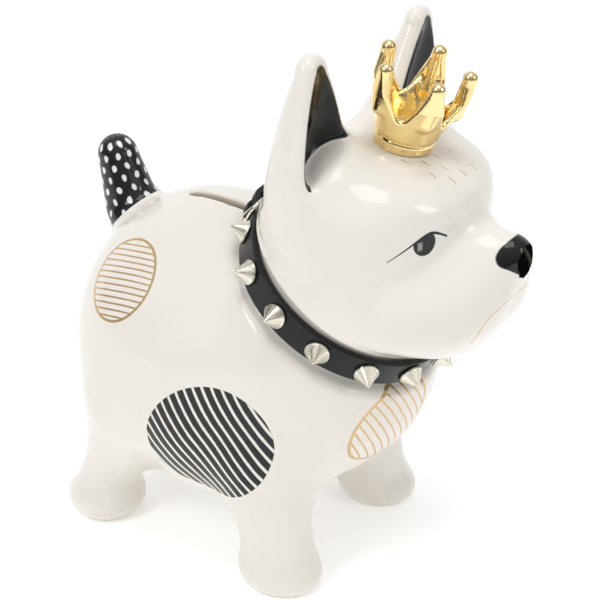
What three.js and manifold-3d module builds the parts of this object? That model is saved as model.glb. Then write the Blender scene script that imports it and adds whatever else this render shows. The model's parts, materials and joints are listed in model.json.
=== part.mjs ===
// Ceramic dog coin bank: a hollow slip-cast figure with a crown, a buckled spiked collar
// and a rubber stopper in its belly. Millimetres, +Z up. The dog faces -Y and its right
// side is -X; it stands on Z = 0, and the origin is under the middle of its whole box.
import * as THREE from 'three';
import { mergeVertices } from 'three/addons/utils/BufferGeometryUtils.js';
import Module from 'manifold-3d';

const wasm = await Module();
wasm.setup();

// ---- driving dimensions -------------------------------------------------------------
const wall = 4.5; // fired clay
const gap = 0.3; // between pieces that touch
const boxMiddle = -24.2; // Y of the box's middle, measured from midway between the feet
const bodyCell = 8; // mesh size of the body
const headCell = 6.4;
const hollowCell = 11;

// The figure's masses, with Y from midway between the feet. Pairs are given on +X.
const form = {
  torso: { c: [0, -1.5, 73.5], r: [58, 60.5, 60.5], pitch: 0 },
  rump: { c: [0, 22.5, 78.5], r: [49.5, 40.5, 52], pitch: 0 },
  chest: { c: [0, -39.5, 86.5], r: [48, 43.5, 49], pitch: -3.5 },
  hindLeg: { a: [33, 29, 52.5], b: [36.5, 41.5, 19], ra: 15.5, rb: 11 },
  hindFoot: { c: [36, 43.8, 7.5], r: [16, 16, 10.5], pitch: 0 },
  foreLeg: { a: [33.5, -35.5, 49], b: [34.5, -40.7, 18], ra: 15, rb: 14 },
  foreFoot: { c: [36, -43.5, 5.5], r: [14.5, 17, 9.5], pitch: 0 },
  tail: { a: [0, 52.3, 121.4], b: [0, 58.6, 142], ra: 11, rb: 8 },
  skull: { c: [0, -61, 149.3], r: [46, 40.3, 27.5], pitch: -15.5 },
  cheek: { c: [17.5, -72.2, 125], r: [26.5, 39, 19.5], pitch: 2.3 },
  muzzle: { c: [0, -91.5, 123.5], r: [26.3, 20.8, 23], pitch: 0 },
  nose: { c: [0, -108, 142], r: [10, 6.5, 8.5], pitch: 0 },
  ear: { a: [30.5, -52, 168], b: [35.1, -55.5, 205.3], ra: 17.5, rb: 6.2, flat: 0.72 },
};
const earBowl = { a: [30.5, 0, 172], b: [35.6, 0, 205.3], ra: 14, rb: 2.8, back: -52 };
const bellyZ = 17.5; // flat underside
const belly = { y: 0, hole: 15, plug: 14.7, flange: 17, flangeThick: 2.5, plugHigh: 9.3 };
const slot = { y0: -8, y1: 22.5, width: 4.4 };
const tailSeam = { y: 56, z: 124, lean: 24 }; // where the tail is luted on, degrees from level

// The collar lies in a plane square to the neck, which leans forward.
const neck = { y: -50.4, z: 115.8, lean: 33.5, r: 39.6 };
const strap = { inner: 40.2, thick: 2.4, width: 11.8, over: 42.9, crest: 44.9, tip: -300 };
const bar = { angle: 95, r: 42.4 };
const rung = { angle: 113, r: 44 };
const frameWire = { thick: 1.6, half: 8.2, inner: 6.3 };
const keeper = { angle: 76, half: 3, low: 40, high: 45.6, skin: 1 };
const spike = { count: 12, first: 122, step: 26, r: 4.5, high: 6.4, foot: 0.7, bore: 1.4 };
const crown = { y: -70.4, z: 175.4, lean: 14.5, base: 10.6, top: 15.6, low: 13.5, high: 26 };
const crownBall = { r: 2.3, at: 27.2 };
const crownPoints = { count: 5, first: 16 };

const rad = THREE.MathUtils.degToRad;

// ---- materials ------------------------------------------------------------------------
const finish = (color, roughness, metalness) =>
  new THREE.MeshStandardMaterial({ color, roughness, metalness });
const ivoryGlaze = finish(0xf1ece2, 0.08, 0);
const blackGlaze = finish(0x121214, 0.1, 0);
const goldLustre = finish(0xd9a93c, 0.12, 1);
const strapBlack = finish(0x141416, 0.32, 0);
const nickel = finish(0xcfc5ab, 0.18, 1);
const steel = finish(0x9a9a98, 0.35, 1);
const rubber = finish(0xd8d6d0, 0.7, 0);

// ---- smooth solids as distance fields ---------------------------------------------------
const smin = (a, b, k) => {
  const h = Math.max(k - Math.abs(a - b), 0) / k;
  return Math.min(a, b) - (h * h * k) / 4;
};
const smax = (a, b, k) => -smin(-a, -b, k);

function ellipsoid(x, y, z, e) {
  const c = Math.cos(rad(e.pitch));
  const s = Math.sin(rad(e.pitch));
  const px = x - e.c[0];
  const py = (y - e.c[1]) * c + (z - e.c[2]) * s;
  const pz = (z - e.c[2]) * c - (y - e.c[1]) * s;
  const k0 = Math.hypot(px / e.r[0], py / e.r[1], pz / e.r[2]);
  const k1 = Math.hypot(px / e.r[0] ** 2, py / e.r[1] ** 2, pz / e.r[2] ** 2);
  return k1 < 1e-9 ? -Math.min(...e.r) : (k0 * (k0 - 1)) / k1;
}

function roundCone(x, y, z, s) {
  const b = s.b.map((v, i) => v - s.a[i]);
  const p = [x - s.a[0], y - s.a[1], z - s.a[2]];
  const along = (p[0] * b[0] + p[1] * b[1] + p[2] * b[2]) / (b[0] ** 2 + b[1] ** 2 + b[2] ** 2);
  const t = Math.min(1, Math.max(0, along));
  return Math.hypot(p[0] - b[0] * t, p[1] - b[1] * t, p[2] - b[2] * t) - s.ra - (s.rb - s.ra) * t;
}

// A leaf narrows from ra to rb with bulging sides; flat squashes it front to back.
function leaf(x, y, z, s) {
  const bx = s.b[0] - s.a[0];
  const bz = s.b[2] - s.a[2];
  const along = ((x - s.a[0]) * bx + (z - s.a[2]) * bz) / (bx * bx + bz * bz);
  const t = Math.min(1, Math.max(0, along));
  const flat = s.flat ?? 1;
  const py = (y - s.a[1] - (s.b[1] - s.a[1]) * t) / flat;
  const r = s.ra + (s.rb - s.ra) * t ** 1.5;
  return (Math.hypot(x - s.a[0] - bx * t, py, z - s.a[2] - bz * t) - r) * 0.8 * flat;
}

// Height above the collar's plane, and distance from the neck's axis.
function neckPlace(x, y, z) {
  const s = Math.sin(rad(neck.lean));
  const c = Math.cos(rad(neck.lean));
  const high = -(y - neck.y) * s + (z - neck.z) * c;
  return [high, Math.hypot(x, (y - neck.y) * c + (z - neck.z) * s)];
}

function neckField(x, y, z) {
  const round = 7;
  const [high, r] = neckPlace(x, y, z);
  const a = r - (neck.r + 0.6 - round);
  const b = Math.abs(high) - (16 - round);
  return Math.hypot(Math.max(a, 0), Math.max(b, 0)) + Math.min(Math.max(a, b), 0) - round;
}

// The hollow's way through the neck.
const throat = (x, y, z) => Math.hypot(x, y - neck.y, z - neck.z) - (neck.r - wall);

function bodyMass(x, y, z) {
  const side = Math.abs(x);
  const hind = smin(roundCone(side, y, z, form.hindLeg), ellipsoid(side, y, z, form.hindFoot), 8);
  const fore = smin(roundCone(side, y, z, form.foreLeg), ellipsoid(side, y, z, form.foreFoot), 8);
  let d = ellipsoid(x, y, z, form.torso);
  d = smin(d, ellipsoid(x, y, z, form.rump), 16);
  d = smin(d, ellipsoid(x, y, z, form.chest), 16);
  d = smax(d, bellyZ - z, 6);
  d = smin(d, hind, 16);
  return smin(d, fore, 16);
}

const bodyField = (x, y, z) => smin(bodyMass(x, y, z), neckField(x, y, z), 8);
const wholeBodyField = (x, y, z) => smin(bodyField(x, y, z), roundCone(x, y, z, form.tail), 12);

function skullField(x, y, z) {
  let d = ellipsoid(x, y, z, form.skull);
  d = smin(d, ellipsoid(Math.abs(x), y, z, form.cheek), 14);
  return smin(d, ellipsoid(x, y, z, form.muzzle), 10);
}

const faceField = (x, y, z) => smin(skullField(x, y, z), ellipsoid(x, y, z, form.nose), 3);

function headField(x, y, z) {
  const d = smin(faceField(x, y, z), leaf(Math.abs(x), y, z, form.ear), 12);
  return smin(d, neckField(x, y, z), 8);
}

const bodyHollow = (x, y, z) => smin(bodyMass(x, y, z) + wall, throat(x, y, z), 4);
const headHollow = (x, y, z) => smin(skullField(x, y, z) + wall, throat(x, y, z), 4);

// ---- from field to mesh: one point per crossed cell, drawn onto the surface ---------------
function slope(field, p) {
  const e = 0.2;
  return [0, 1, 2].map((i) => {
    const step = [0, 0, 0];
    step[i] = e;
    const up = field(p[0] + step[0], p[1] + step[1], p[2] + step[2]);
    return (up - field(p[0] - step[0], p[1] - step[1], p[2] - step[2])) / (2 * e);
  });
}

function skin(field, low, high, cell) {
  const n = low.map((v, i) => Math.ceil((high[i] - v) / cell) + 1);
  const at = (i, j, k) => (k * n[1] + j) * n[0] + i;
  const value = new Float64Array(n[0] * n[1] * n[2]);
  for (let k = 0; k < n[2]; k += 1)
    for (let j = 0; j < n[1]; j += 1)
      for (let i = 0; i < n[0]; i += 1)
        value[at(i, j, k)] = field(low[0] + i * cell, low[1] + j * cell, low[2] + k * cell);

  const points = [];
  const pointOf = new Map();
  const point = (i, j, k) => {
    const key = at(i, j, k);
    if (pointOf.has(key)) return pointOf.get(key);
    const sum = [0, 0, 0];
    let crossings = 0;
    for (let corner = 0; corner < 8; corner += 1)
      for (let axis = 0; axis < 3; axis += 1) {
        if (corner & (1 << axis)) continue;
        const c = [corner & 1, (corner >> 1) & 1, corner >> 2];
        const d = [...c];
        d[axis] = 1;
        const a = value[at(i + c[0], j + c[1], k + c[2])];
        const b = value[at(i + d[0], j + d[1], k + d[2])];
        if (a < 0 === b < 0) continue;
        c[axis] = a / (a - b);
        c.forEach((v, m) => { sum[m] += v; });
        crossings += 1;
      }
    const p = [i, j, k].map((v, m) => low[m] + (v + sum[m] / crossings) * cell);
    for (let pull = 0; pull < 3; pull += 1) {
      const g = slope(field, p);
      const d = field(...p) / Math.max(g[0] ** 2 + g[1] ** 2 + g[2] ** 2, 0.2);
      const reach = Math.max(-cell / 3, Math.min(cell / 3, d));
      g.forEach((v, m) => { p[m] -= reach * v; });
    }
    pointOf.set(key, points.length / 3);
    points.push(...p);
    return pointOf.get(key);
  };

  const faces = [];
  for (let k = 1; k < n[2] - 1; k += 1)
    for (let j = 1; j < n[1] - 1; j += 1)
      for (let i = 1; i < n[0] - 1; i += 1)
        for (let axis = 0; axis < 3; axis += 1) {
          const step = [0, 0, 0];
          step[axis] = 1;
          const here = value[at(i, j, k)] < 0;
          if (here === value[at(i + step[0], j + step[1], k + step[2])] < 0) continue;
          const u = [0, 0, 0];
          const v = [0, 0, 0];
          u[(axis + 1) % 3] = 1;
          v[(axis + 2) % 3] = 1;
          const a = point(i - u[0] - v[0], j - u[1] - v[1], k - u[2] - v[2]);
          const b = point(i - v[0], j - v[1], k - v[2]);
          const c = point(i, j, k);
          const d = point(i - u[0], j - u[1], k - u[2]);
          if (here) faces.push(a, b, c, a, c, d);
          else faces.push(a, c, b, a, d, c);
        }
  const geometry = new THREE.BufferGeometry();
  geometry.setAttribute('position', new THREE.Float32BufferAttribute(points, 3));
  geometry.setIndex(faces);
  return geometry;
}

// ---- between three.js geometry and solids that can be cut ----------------------------------
function solid(geometry) {
  const bare = geometry.clone();
  bare.deleteAttribute('normal');
  bare.deleteAttribute('uv');
  const merged = mergeVertices(bare, 1e-4);
  return new wasm.Manifold(new wasm.Mesh({
    numProp: 3,
    vertProperties: Float32Array.from(merged.attributes.position.array),
    triVerts: Uint32Array.from(merged.index.array),
  }));
}

function geometryOf(manifold) {
  const mesh = manifold.getMesh();
  const geometry = new THREE.BufferGeometry();
  geometry.setAttribute('position', new THREE.BufferAttribute(mesh.vertProperties, 3));
  geometry.setIndex(new THREE.BufferAttribute(mesh.triVerts, 1));
  geometry.computeVertexNormals();
  return geometry;
}

function block(w, d, h, matrix = new THREE.Matrix4()) {
  return solid(new THREE.BoxGeometry(w, d, h).applyMatrix4(matrix));
}

// A turned piece along +Z from [radius, height] pairs.
function turned(profile, sides) {
  const points = profile.map(([r, h]) => new THREE.Vector2(r, h));
  return new THREE.LatheGeometry(points, sides).rotateX(Math.PI / 2);
}

function post(r, z0, z1, sides) {
  return turned([[0, z0], [r, z0], [r, z1], [0, z1]], sides);
}

function plate(points, thick) {
  const outline = new THREE.Shape(points.map(([x, y]) => new THREE.Vector2(x, y)));
  return new THREE.ExtrudeGeometry(outline, { depth: thick, bevelEnabled: false })
    .translate(0, 0, -thick / 2);
}

function named(name, geometry, material) {
  const mesh = new THREE.Mesh(geometry, material);
  mesh.name = name;
  return mesh;
}

const collarMatrix = new THREE.Matrix4()
  .makeTranslation(0, neck.y, neck.z)
  .multiply(new THREE.Matrix4().makeRotationX(rad(neck.lean)));

// Everything above (sign 1) or below (sign -1) the collar's plane, less half a gap.
function besideCollar(sign) {
  const size = 400;
  const shift = new THREE.Matrix4().makeTranslation(0, 0, (sign * (size + gap)) / 2);
  return block(size, size, size, collarMatrix.clone().multiply(shift));
}

// ---- the fired figure ---------------------------------------------------------------------
// A clear way round the neck, wide enough for the strap, its buckle and the spikes to turn.
function collarSeat() {
  const outer = 54;
  const profile = [[neck.r, -7.5], [41, -7.5], [41.4, -8.7], [outer, -8.7], [outer, 8.7],
    [41.4, 8.7], [41, 7.5], [neck.r, 7.5], [neck.r, -7.5]];
  return solid(turned(profile, 48).applyMatrix4(collarMatrix));
}

function coinSlot() {
  const r = slot.width / 2;
  const outline = new THREE.Shape();
  outline.absarc(0, slot.y1 - r, r, 0, Math.PI, false);
  outline.absarc(0, slot.y0 + r, r, Math.PI, 2 * Math.PI, false);
  const cut = new THREE.ExtrudeGeometry(outline, { depth: 40, bevelEnabled: false, curveSegments: 4 });
  return solid(cut.translate(0, 0, 115));
}

function tailCut(lift) {
  const size = 60;
  const matrix = new THREE.Matrix4().makeTranslation(0, tailSeam.y, tailSeam.z)
    .multiply(new THREE.Matrix4().makeRotationX(rad(-tailSeam.lean)))
    .multiply(new THREE.Matrix4().makeTranslation(0, 0, size / 2 + lift));
  return block(size, size, size, matrix);
}

const low = [-70, -100, -14];
const high = [70, 84, 166];

function bodyPieces() {
  const whole = solid(skin(wholeBodyField, low, high, bodyCell));
  const floor = block(300, 300, 60, new THREE.Matrix4().makeTranslation(0, 0, -30));
  const lowest = block(300, 300, 66, new THREE.Matrix4().makeTranslation(0, 0, -33 + wall + 3));
  const hollow = solid(skin(bodyHollow, low, high, hollowCell)).subtract(lowest);
  const bellyHole = solid(post(belly.hole, 0, 40, 24).translate(0, belly.y, 0));
  const shell = whole.subtract(floor).intersect(besideCollar(-1)).subtract(collarSeat())
    .subtract(hollow).subtract(bellyHole).subtract(coinSlot());
  return [
    named('body_shell', geometryOf(shell.subtract(tailCut(-gap / 2))), ivoryGlaze),
    named('tail', geometryOf(whole.intersect(tailCut(gap / 2))), blackGlaze),
  ];
}

// The open front of an ear: a leaf-shaped bowl that stops at the dome of the skull.
function earBowlCut(side, dome) {
  const steps = 7;
  const depth = 40;
  const { a, b, ra, rb, back } = earBowl;
  const lean = Math.atan2(b[0] - a[0], b[2] - a[2]);
  const rim = (t, way) => {
    const r = way * (ra + (rb - ra) * t ** 1.5);
    const x = a[0] + (b[0] - a[0]) * t + r * Math.cos(lean);
    return [side * x, -a[2] - (b[2] - a[2]) * t + r * Math.sin(lean)];
  };
  const along = Array.from({ length: steps + 1 }, (_, i) => i / steps);
  const outline = [[side * a[0], ra - a[2]], ...along.map((t) => rim(t, 1)),
    [side * b[0], -b[2] - rb], ...along.toReversed().map((t) => rim(t, -1))];
  const bowl = plate(outline, depth).rotateX(-Math.PI / 2).translate(0, back - depth / 2, 0);
  return solid(bowl).subtract(dome);
}

function headShell() {
  const whole = solid(skin(headField, [-64, -132, 76], [64, 4, 226], headCell));
  const hollow = solid(skin(headHollow, [-70, -130, 58], [70, 10, 200], hollowCell));
  const dome = solid(skin(faceField, [-60, -130, 90], [60, -10, 190], headCell));
  const shell = whole.intersect(besideCollar(1)).subtract(collarSeat()).subtract(hollow)
    .subtract(earBowlCut(1, dome)).subtract(earBowlCut(-1, dome));
  return named('head_shell', geometryOf(shell), ivoryGlaze);
}

// ---- the crown: a flared cup with a wavy rim, closed by its floor -------------------------
function crownPiece() {
  const around = 30;
  const rings = [];
  const radius = (h) => crown.base + (crown.top - crown.base) * Math.min(1, h / 20) ** 1.4;
  const rimHeight = (a) => {
    const wave = Math.abs(Math.cos((crownPoints.count / 2) * (a - rad(crownPoints.first))));
    return crown.low + (crown.high - crown.low) * wave ** 5;
  };
  const ring = (height, inset) => {
    rings.push(Array.from({ length: around }, (_, i) => {
      const a = rad(crownPoints.first) + (2 * Math.PI * i) / around;
      const h = height(rimHeight(a));
      const r = radius(Math.max(h, 0)) - inset;
      return [r * Math.cos(a), r * Math.sin(a), h];
    }));
  };
  const thick = 2.2;
  ring(() => -3, 0);
  ring(() => 3, 0);
  ring((top) => top * 0.55, 0);
  ring((top) => top, 0);
  ring((top) => top, thick);
  ring((top) => top * 0.6, thick);
  ring(() => 3, thick);
  const points = [[0, 0, -3], ...rings.flat(), [0, 0, 3]].flat();
  const faces = [];
  for (let i = 0; i < around; i += 1) {
    const j = (i + 1) % around;
    faces.push(0, 1 + j, 1 + i);
    for (let k = 0; k + 1 < rings.length; k += 1) {
      const here = 1 + k * around;
      faces.push(here + i, here + j, here + around + j, here + i, here + around + j, here + around + i);
    }
    const last = 1 + (rings.length - 1) * around;
    faces.push(last + i, last + j, last + around);
  }
  const cup = new THREE.BufferGeometry();
  cup.setAttribute('position', new THREE.Float32BufferAttribute(points, 3));
  cup.setIndex(faces);
  let piece = solid(cup);
  for (let i = 0; i < crownPoints.count; i += 1) {
    const a = rad(crownPoints.first + (360 / crownPoints.count) * i);
    const r = crown.top - thick / 2;
    const ball = new THREE.SphereGeometry(crownBall.r, 7, 5).rotateX(Math.PI / 2);
    piece = piece.add(solid(ball.translate(r * Math.cos(a), r * Math.sin(a), crownBall.at)));
  }
  const place = new THREE.Matrix4().makeTranslation(0, crown.y, crown.z)
    .multiply(new THREE.Matrix4().makeRotationX(rad(crown.lean)));
  const seatLow = [-24, crown.y - 26, 150];
  const seatHigh = [24, crown.y + 26, 196];
  const seat = (x, y, z) => {
    const inside = Math.max(Math.abs(x) - 18, Math.abs(y - crown.y) - 20, Math.abs(z - 173) - 17);
    return Math.max(headField(x, y, z) - gap - 0.15, inside);
  };
  const seated = solid(geometryOf(piece).applyMatrix4(place))
    .subtract(solid(skin(seat, seatLow, seatHigh, 5)));
  return named('crown', geometryOf(seated), goldLustre);
}

// ---- the collar, drawn in its own plane with +Y towards the nape ----------------------------
const polar = (r, angle) => [r * Math.cos(rad(angle)), r * Math.sin(rad(angle))];
const ease = (t) => t * t * (3 - 2 * t);

// Inner radius along the strap: once round the neck, over the bar, and on under the keeper.
function strapInner(angle) {
  const overBar = bar.angle - 360;
  if (Math.abs(angle - keeper.angle) < keeper.half + 2) return strap.inner + 1.1;
  if (angle > overBar + 15.5) return strap.inner;
  if (angle > overBar + 4) {
    return strap.inner + (strap.crest - strap.inner) * ease((overBar + 15.5 - angle) / 11.5);
  }
  if (angle > overBar - 5) return strap.crest;
  if (angle > overBar - 13) {
    return strap.crest + (strap.over - strap.crest) * ease((overBar - 5 - angle) / 8);
  }
  return strap.over;
}

function strapBand() {
  const angles = [];
  const overBar = bar.angle - 360;
  const edge = keeper.half + 2;
  for (let a = bar.angle - 1.5; a > keeper.angle + edge; a -= 6) angles.push(a);
  for (const a of [edge + 0.01, edge - 0.01, 0, 0.01 - edge, -0.01 - edge]) angles.push(keeper.angle + a);
  for (let a = keeper.angle - edge - 6; a > overBar + 16; a -= 7.5) angles.push(a);
  for (let a = overBar + 15.5; a > overBar - 14; a -= 2.5) angles.push(a);
  for (let a = overBar - 18; a > strap.tip; a -= 6) angles.push(a);
  angles.push(strap.tip);
  const outerRadius = (a) => (a > overBar + 16 ? strap.inner : strapInner(a)) + strap.thick;
  const outline = [
    ...angles.map((a) => polar(outerRadius(a), a)),
    ...angles.toReversed().map((a) => polar(strapInner(a), a)),
  ];
  return plate(outline, strap.width);
}

function spikeAngles() {
  return Array.from({ length: spike.count }, (_, i) => spike.first + spike.step * i);
}

// Stands a piece modelled along +Z on the strap, its foot at radius r.
function standing(geometry, angle, r) {
  const [x, y] = polar(r, angle);
  const turn = new THREE.Matrix4().makeRotationZ(rad(angle))
    .multiply(new THREE.Matrix4().makeRotationY(Math.PI / 2));
  return geometry.applyMatrix4(turn).translate(x, y, 0);
}

const barAt = polar(bar.r, bar.angle);
const rungAt = polar(rung.r, rung.angle);
const frameTurn = Math.atan2(rungAt[1] - barAt[1], rungAt[0] - barAt[0]);
const frameLong = Math.hypot(rungAt[0] - barAt[0], rungAt[1] - barAt[1]);

function collarStrap() {
  const eye = new THREE.CylinderGeometry(2.2, 2.2, strap.width, 12).rotateX(Math.PI / 2)
    .translate(...barAt, 0);
  const barHole = new THREE.CylinderGeometry(1.45, 1.45, 20, 12).rotateX(Math.PI / 2)
    .translate(...barAt, 0);
  const tongueSlit = new THREE.CylinderGeometry(2.6, 2.6, 3.4, 12).rotateX(Math.PI / 2)
    .translate(...barAt, 0);
  const tongueSlot = plate([polar(43.2, 93), polar(49, 93), polar(49, 108), polar(39, 108),
    polar(39, 99), polar(43.2, 98.5)], 3.2);
  let piece = solid(strapBand()).add(solid(eye)).subtract(solid(barHole))
    .subtract(solid(tongueSlit)).subtract(solid(tongueSlot));
  for (const angle of [87.5, 64.5]) {
    piece = piece.subtract(solid(standing(post(1.1, 0, 8, 8), angle, strap.over - 0.2)));
  }
  for (const angle of spikeAngles()) {
    piece = piece.subtract(solid(standing(post(1.5, -2, 6, 6), angle, strap.inner)));
    piece = piece.subtract(solid(standing(post(3, -2, 1.1, 6), angle, strap.inner)));
  }
  return named('collar_strap', geometryOf(piece), strapBlack);
}

function buckleFrame() {
  const t = frameWire.thick;
  const x0 = -t / 2;
  const x1 = frameLong + t / 2;
  const outer = plate([[x0, -frameWire.half], [x1 - 2, -frameWire.half], [x1, 2 - frameWire.half],
    [x1, frameWire.half - 2], [x1 - 2, frameWire.half], [x0, frameWire.half]], t);
  const inner = plate([[x0 + t, -frameWire.inner], [x1 - t - 1, -frameWire.inner],
    [x1 - t, 1 - frameWire.inner], [x1 - t, frameWire.inner - 1], [x1 - t - 1, frameWire.inner],
    [x0 + t, frameWire.inner]], t + 2);
  const ring = geometryOf(solid(outer).subtract(solid(inner))).rotateX(Math.PI / 2);
  return named('buckle_frame', ring.rotateZ(frameTurn).translate(...barAt, 0), nickel);
}

function buckleTongue() {
  const width = 2.4;
  const ringOut = new THREE.CylinderGeometry(2.15, 2.15, width, 12).rotateX(Math.PI / 2);
  const ringIn = new THREE.CylinderGeometry(1.4, 1.4, width + 2, 12).rotateX(Math.PI / 2);
  const under = frameWire.thick / 2 + gap; // shaft's clearance over the frame's rung
  const shaft = plate([[-0.3, -under - 1.2], [frameLong + 1, -under - 1.2],
    [frameLong + 1.6, -under - 0.8], [frameLong + 1.6, -under], [-0.3, -under]], width);
  const piece = solid(ringOut).add(solid(shaft)).subtract(solid(ringIn));
  return named('buckle_tongue', geometryOf(piece).rotateZ(frameTurn).translate(...barAt, 0), nickel);
}

function strapKeeper() {
  const side = strap.width / 2 + gap;
  const arc = (r0, r1) => {
    const from = keeper.angle - keeper.half;
    const angles = [0, 1, 2].map((i) => from + i * keeper.half);
    return [...angles.map((a) => polar(r1, a)), ...angles.toReversed().map((a) => polar(r0, a))];
  };
  const outer = plate(arc(keeper.low, keeper.high + keeper.skin), 2 * (side + keeper.skin));
  const inner = plate(arc(keeper.low + keeper.skin, keeper.high), 2 * side);
  const wide = solid(inner.rotateZ(rad(-keeper.angle)).scale(1, 3, 1).rotateZ(rad(keeper.angle)));
  return named('strap_keeper', geometryOf(solid(outer).subtract(wide)), strapBlack);
}

function spikes() {
  const cone = [[0, 2.6], [spike.bore, 2.6], [spike.bore, 0], [spike.r, 0], [spike.r, spike.foot],
    [0.4, spike.high], [0, spike.high + 0.1]];
  const screw = [[0, 0], [2.5, 0], [2.5, 0.6], [1.1, 0.6], [1.1, 4.6], [0, 4.6]];
  const foot = strap.inner + strap.thick + gap;
  return spikeAngles().flatMap((angle, i) => {
    const label = String(i + 1).padStart(2, '0');
    return [
      named(`spike_${label}`, standing(turned(cone, 10), angle, foot), nickel),
      named(`spike_screw_${label}`, standing(turned(screw, 6), angle, strap.inner + 0.1), steel),
    ];
  });
}

function collar() {
  const group = new THREE.Group();
  group.position.set(0, neck.y, neck.z);
  group.rotation.x = rad(neck.lean);
  group.add(collarStrap(), buckleFrame(), buckleTongue(), strapKeeper(), ...spikes());
  return group;
}

// ---- the stopper: a soft cup with a flange and a grip bar -----------------------------------
function bellyStopper() {
  const { plug, flange, flangeThick, plugHigh } = belly;
  const cup = [[0, -flangeThick], [flange, -flangeThick], [flange, 0], [plug, 0], [plug, plugHigh],
    [plug - 2.7, plugHigh], [plug - 2.7, 2.2], [0, 2.2]];
  const grip = block(14, 3, 2.2, new THREE.Matrix4().makeTranslation(0, 0, -flangeThick - 1));
  const mesh = named('belly_stopper', geometryOf(solid(turned(cup, 24)).add(grip)), rubber);
  mesh.position.set(0, belly.y, bellyZ - gap);
  return mesh;
}

const bank = new THREE.Group();
bank.position.y = -boxMiddle;
bank.add(...bodyPieces(), headShell(), crownPiece(), collar(), bellyStopper());

export default bank;
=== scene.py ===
# Looks of a glazed ceramic dog coin bank, with its crown, spiked collar and belly stopper.
import json
import math
import bpy
import bmesh
import numpy as np
from mathutils import Matrix, Vector


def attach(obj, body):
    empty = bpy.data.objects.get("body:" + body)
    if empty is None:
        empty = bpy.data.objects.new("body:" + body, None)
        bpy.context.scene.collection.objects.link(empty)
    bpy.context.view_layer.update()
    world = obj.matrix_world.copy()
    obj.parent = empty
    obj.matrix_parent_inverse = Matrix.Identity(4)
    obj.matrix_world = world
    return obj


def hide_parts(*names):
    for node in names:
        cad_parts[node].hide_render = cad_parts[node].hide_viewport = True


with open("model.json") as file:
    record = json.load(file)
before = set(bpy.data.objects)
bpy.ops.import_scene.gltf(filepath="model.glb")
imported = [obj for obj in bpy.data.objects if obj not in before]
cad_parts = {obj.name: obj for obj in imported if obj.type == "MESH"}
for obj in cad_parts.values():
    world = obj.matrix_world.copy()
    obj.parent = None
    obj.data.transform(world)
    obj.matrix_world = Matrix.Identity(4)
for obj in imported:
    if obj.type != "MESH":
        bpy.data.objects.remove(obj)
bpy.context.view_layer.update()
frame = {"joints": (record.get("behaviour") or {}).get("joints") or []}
joints = {j["name"]: j for j in frame["joints"]}
print("frame loaded")

# Shapes are worked out in the potter's own frame: millimetres, Y from midway between the feet,
# the dog facing -Y with its right side at -X. toRow carries them into the frame's metres.
neck = {"y": -50.4, "z": 115.8, "lean": 33.5, "radius": 39.6}
shiftY = joints["collar_swivel"]["pos_m"][1] * 1000 - neck["y"]
toRow = Matrix.Scale(0.001, 4) @ Matrix.Translation((0, shiftY, 0))
collarPlace = toRow @ Matrix.Translation((0, neck["y"], neck["z"])) @ Matrix.Rotation(
    math.radians(neck["lean"]), 4, "X")


# Smooth shapes are distance fields: negative inside, in millimetres.
def smin(a, b, k):
    h = np.maximum(k - np.abs(a - b), 0) / k
    return np.minimum(a, b) - h * h * k / 4


def smax(a, b, k):
    return -smin(-a, -b, k)


def egg(x, y, z, c, r, pitch=0):
    co, si = math.cos(math.radians(pitch)), math.sin(math.radians(pitch))
    px = x - c[0]
    py = (y - c[1]) * co + (z - c[2]) * si
    pz = (z - c[2]) * co - (y - c[1]) * si
    k0 = np.sqrt((px / r[0]) ** 2 + (py / r[1]) ** 2 + (pz / r[2]) ** 2)
    k1 = np.sqrt((px / r[0] ** 2) ** 2 + (py / r[1] ** 2) ** 2 + (pz / r[2] ** 2) ** 2)
    return k0 * (k0 - 1) / np.maximum(k1, 1e-9)


def taper(x, y, z, a, b, ra, rb):  # a round cone from a to b
    a, b = np.array(a, float), np.array(b, float)
    d = b - a
    px, py, pz = x - a[0], y - a[1], z - a[2]
    t = np.clip((px * d[0] + py * d[1] + pz * d[2]) / (d @ d), 0, 1)
    return np.sqrt((px - d[0] * t) ** 2 + (py - d[1] * t) ** 2 + (pz - d[2] * t) ** 2) - ra - (rb - ra) * t


def leaf(x, y, z, a, b, ra, rb, flat):  # an ear's outline with bulging sides, squashed front to back
    dx, dz = b[0] - a[0], b[2] - a[2]
    t = np.clip(((x - a[0]) * dx + (z - a[2]) * dz) / (dx * dx + dz * dz), 0, 1)
    py = (y - a[1] - (b[1] - a[1]) * t) / flat
    r = ra + (rb - ra) * t ** 1.5
    return (np.sqrt((x - a[0] - dx * t) ** 2 + py ** 2 + (z - a[2] - dz * t) ** 2) - r) * 0.8 * flat


def roundBox(a, b, e):  # corner of two half-planes, rounded by e
    return np.hypot(np.maximum(a + e, 0), np.maximum(b + e, 0)) + np.minimum(np.maximum(a, b) + e, 0) - e


def neckPlace(x, y, z):  # height above the collar's plane, and distance from the neck's axis
    s, c = math.sin(math.radians(neck["lean"])), math.cos(math.radians(neck["lean"]))
    high = -(y - neck["y"]) * s + (z - neck["z"]) * c
    return high, np.hypot(x, (y - neck["y"]) * c + (z - neck["z"]) * s)


def neckField(x, y, z):
    high, r = neckPlace(x, y, z)
    return roundBox(r - neck["radius"] - 0.6, np.abs(high) - 16, 7)


def collarSeat(x, y, z):  # the soft valley that the strap turns in
    high, r = neckPlace(x, y, z)
    return smax(np.abs(high) - 8.8, neck["radius"] - r, 3)


# From a field to a mesh: one point in each crossed cell, drawn onto the surface.
def slopeOf(field, p, e=0.08):
    g = np.empty_like(p)
    for i in range(3):
        q = p.copy()
        q[:, i] += e
        up = field(*q.T)
        q[:, i] -= 2 * e
        g[:, i] = (up - field(*q.T)) / (2 * e)
    return g


def pullOnto(field, p, reach, times):
    for _ in range(times):
        g = slopeOf(field, p)
        d = field(*p.T) / np.maximum((g * g).sum(1), 0.15)
        p -= np.clip(d, -reach, reach)[:, None] * g
    return p


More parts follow.
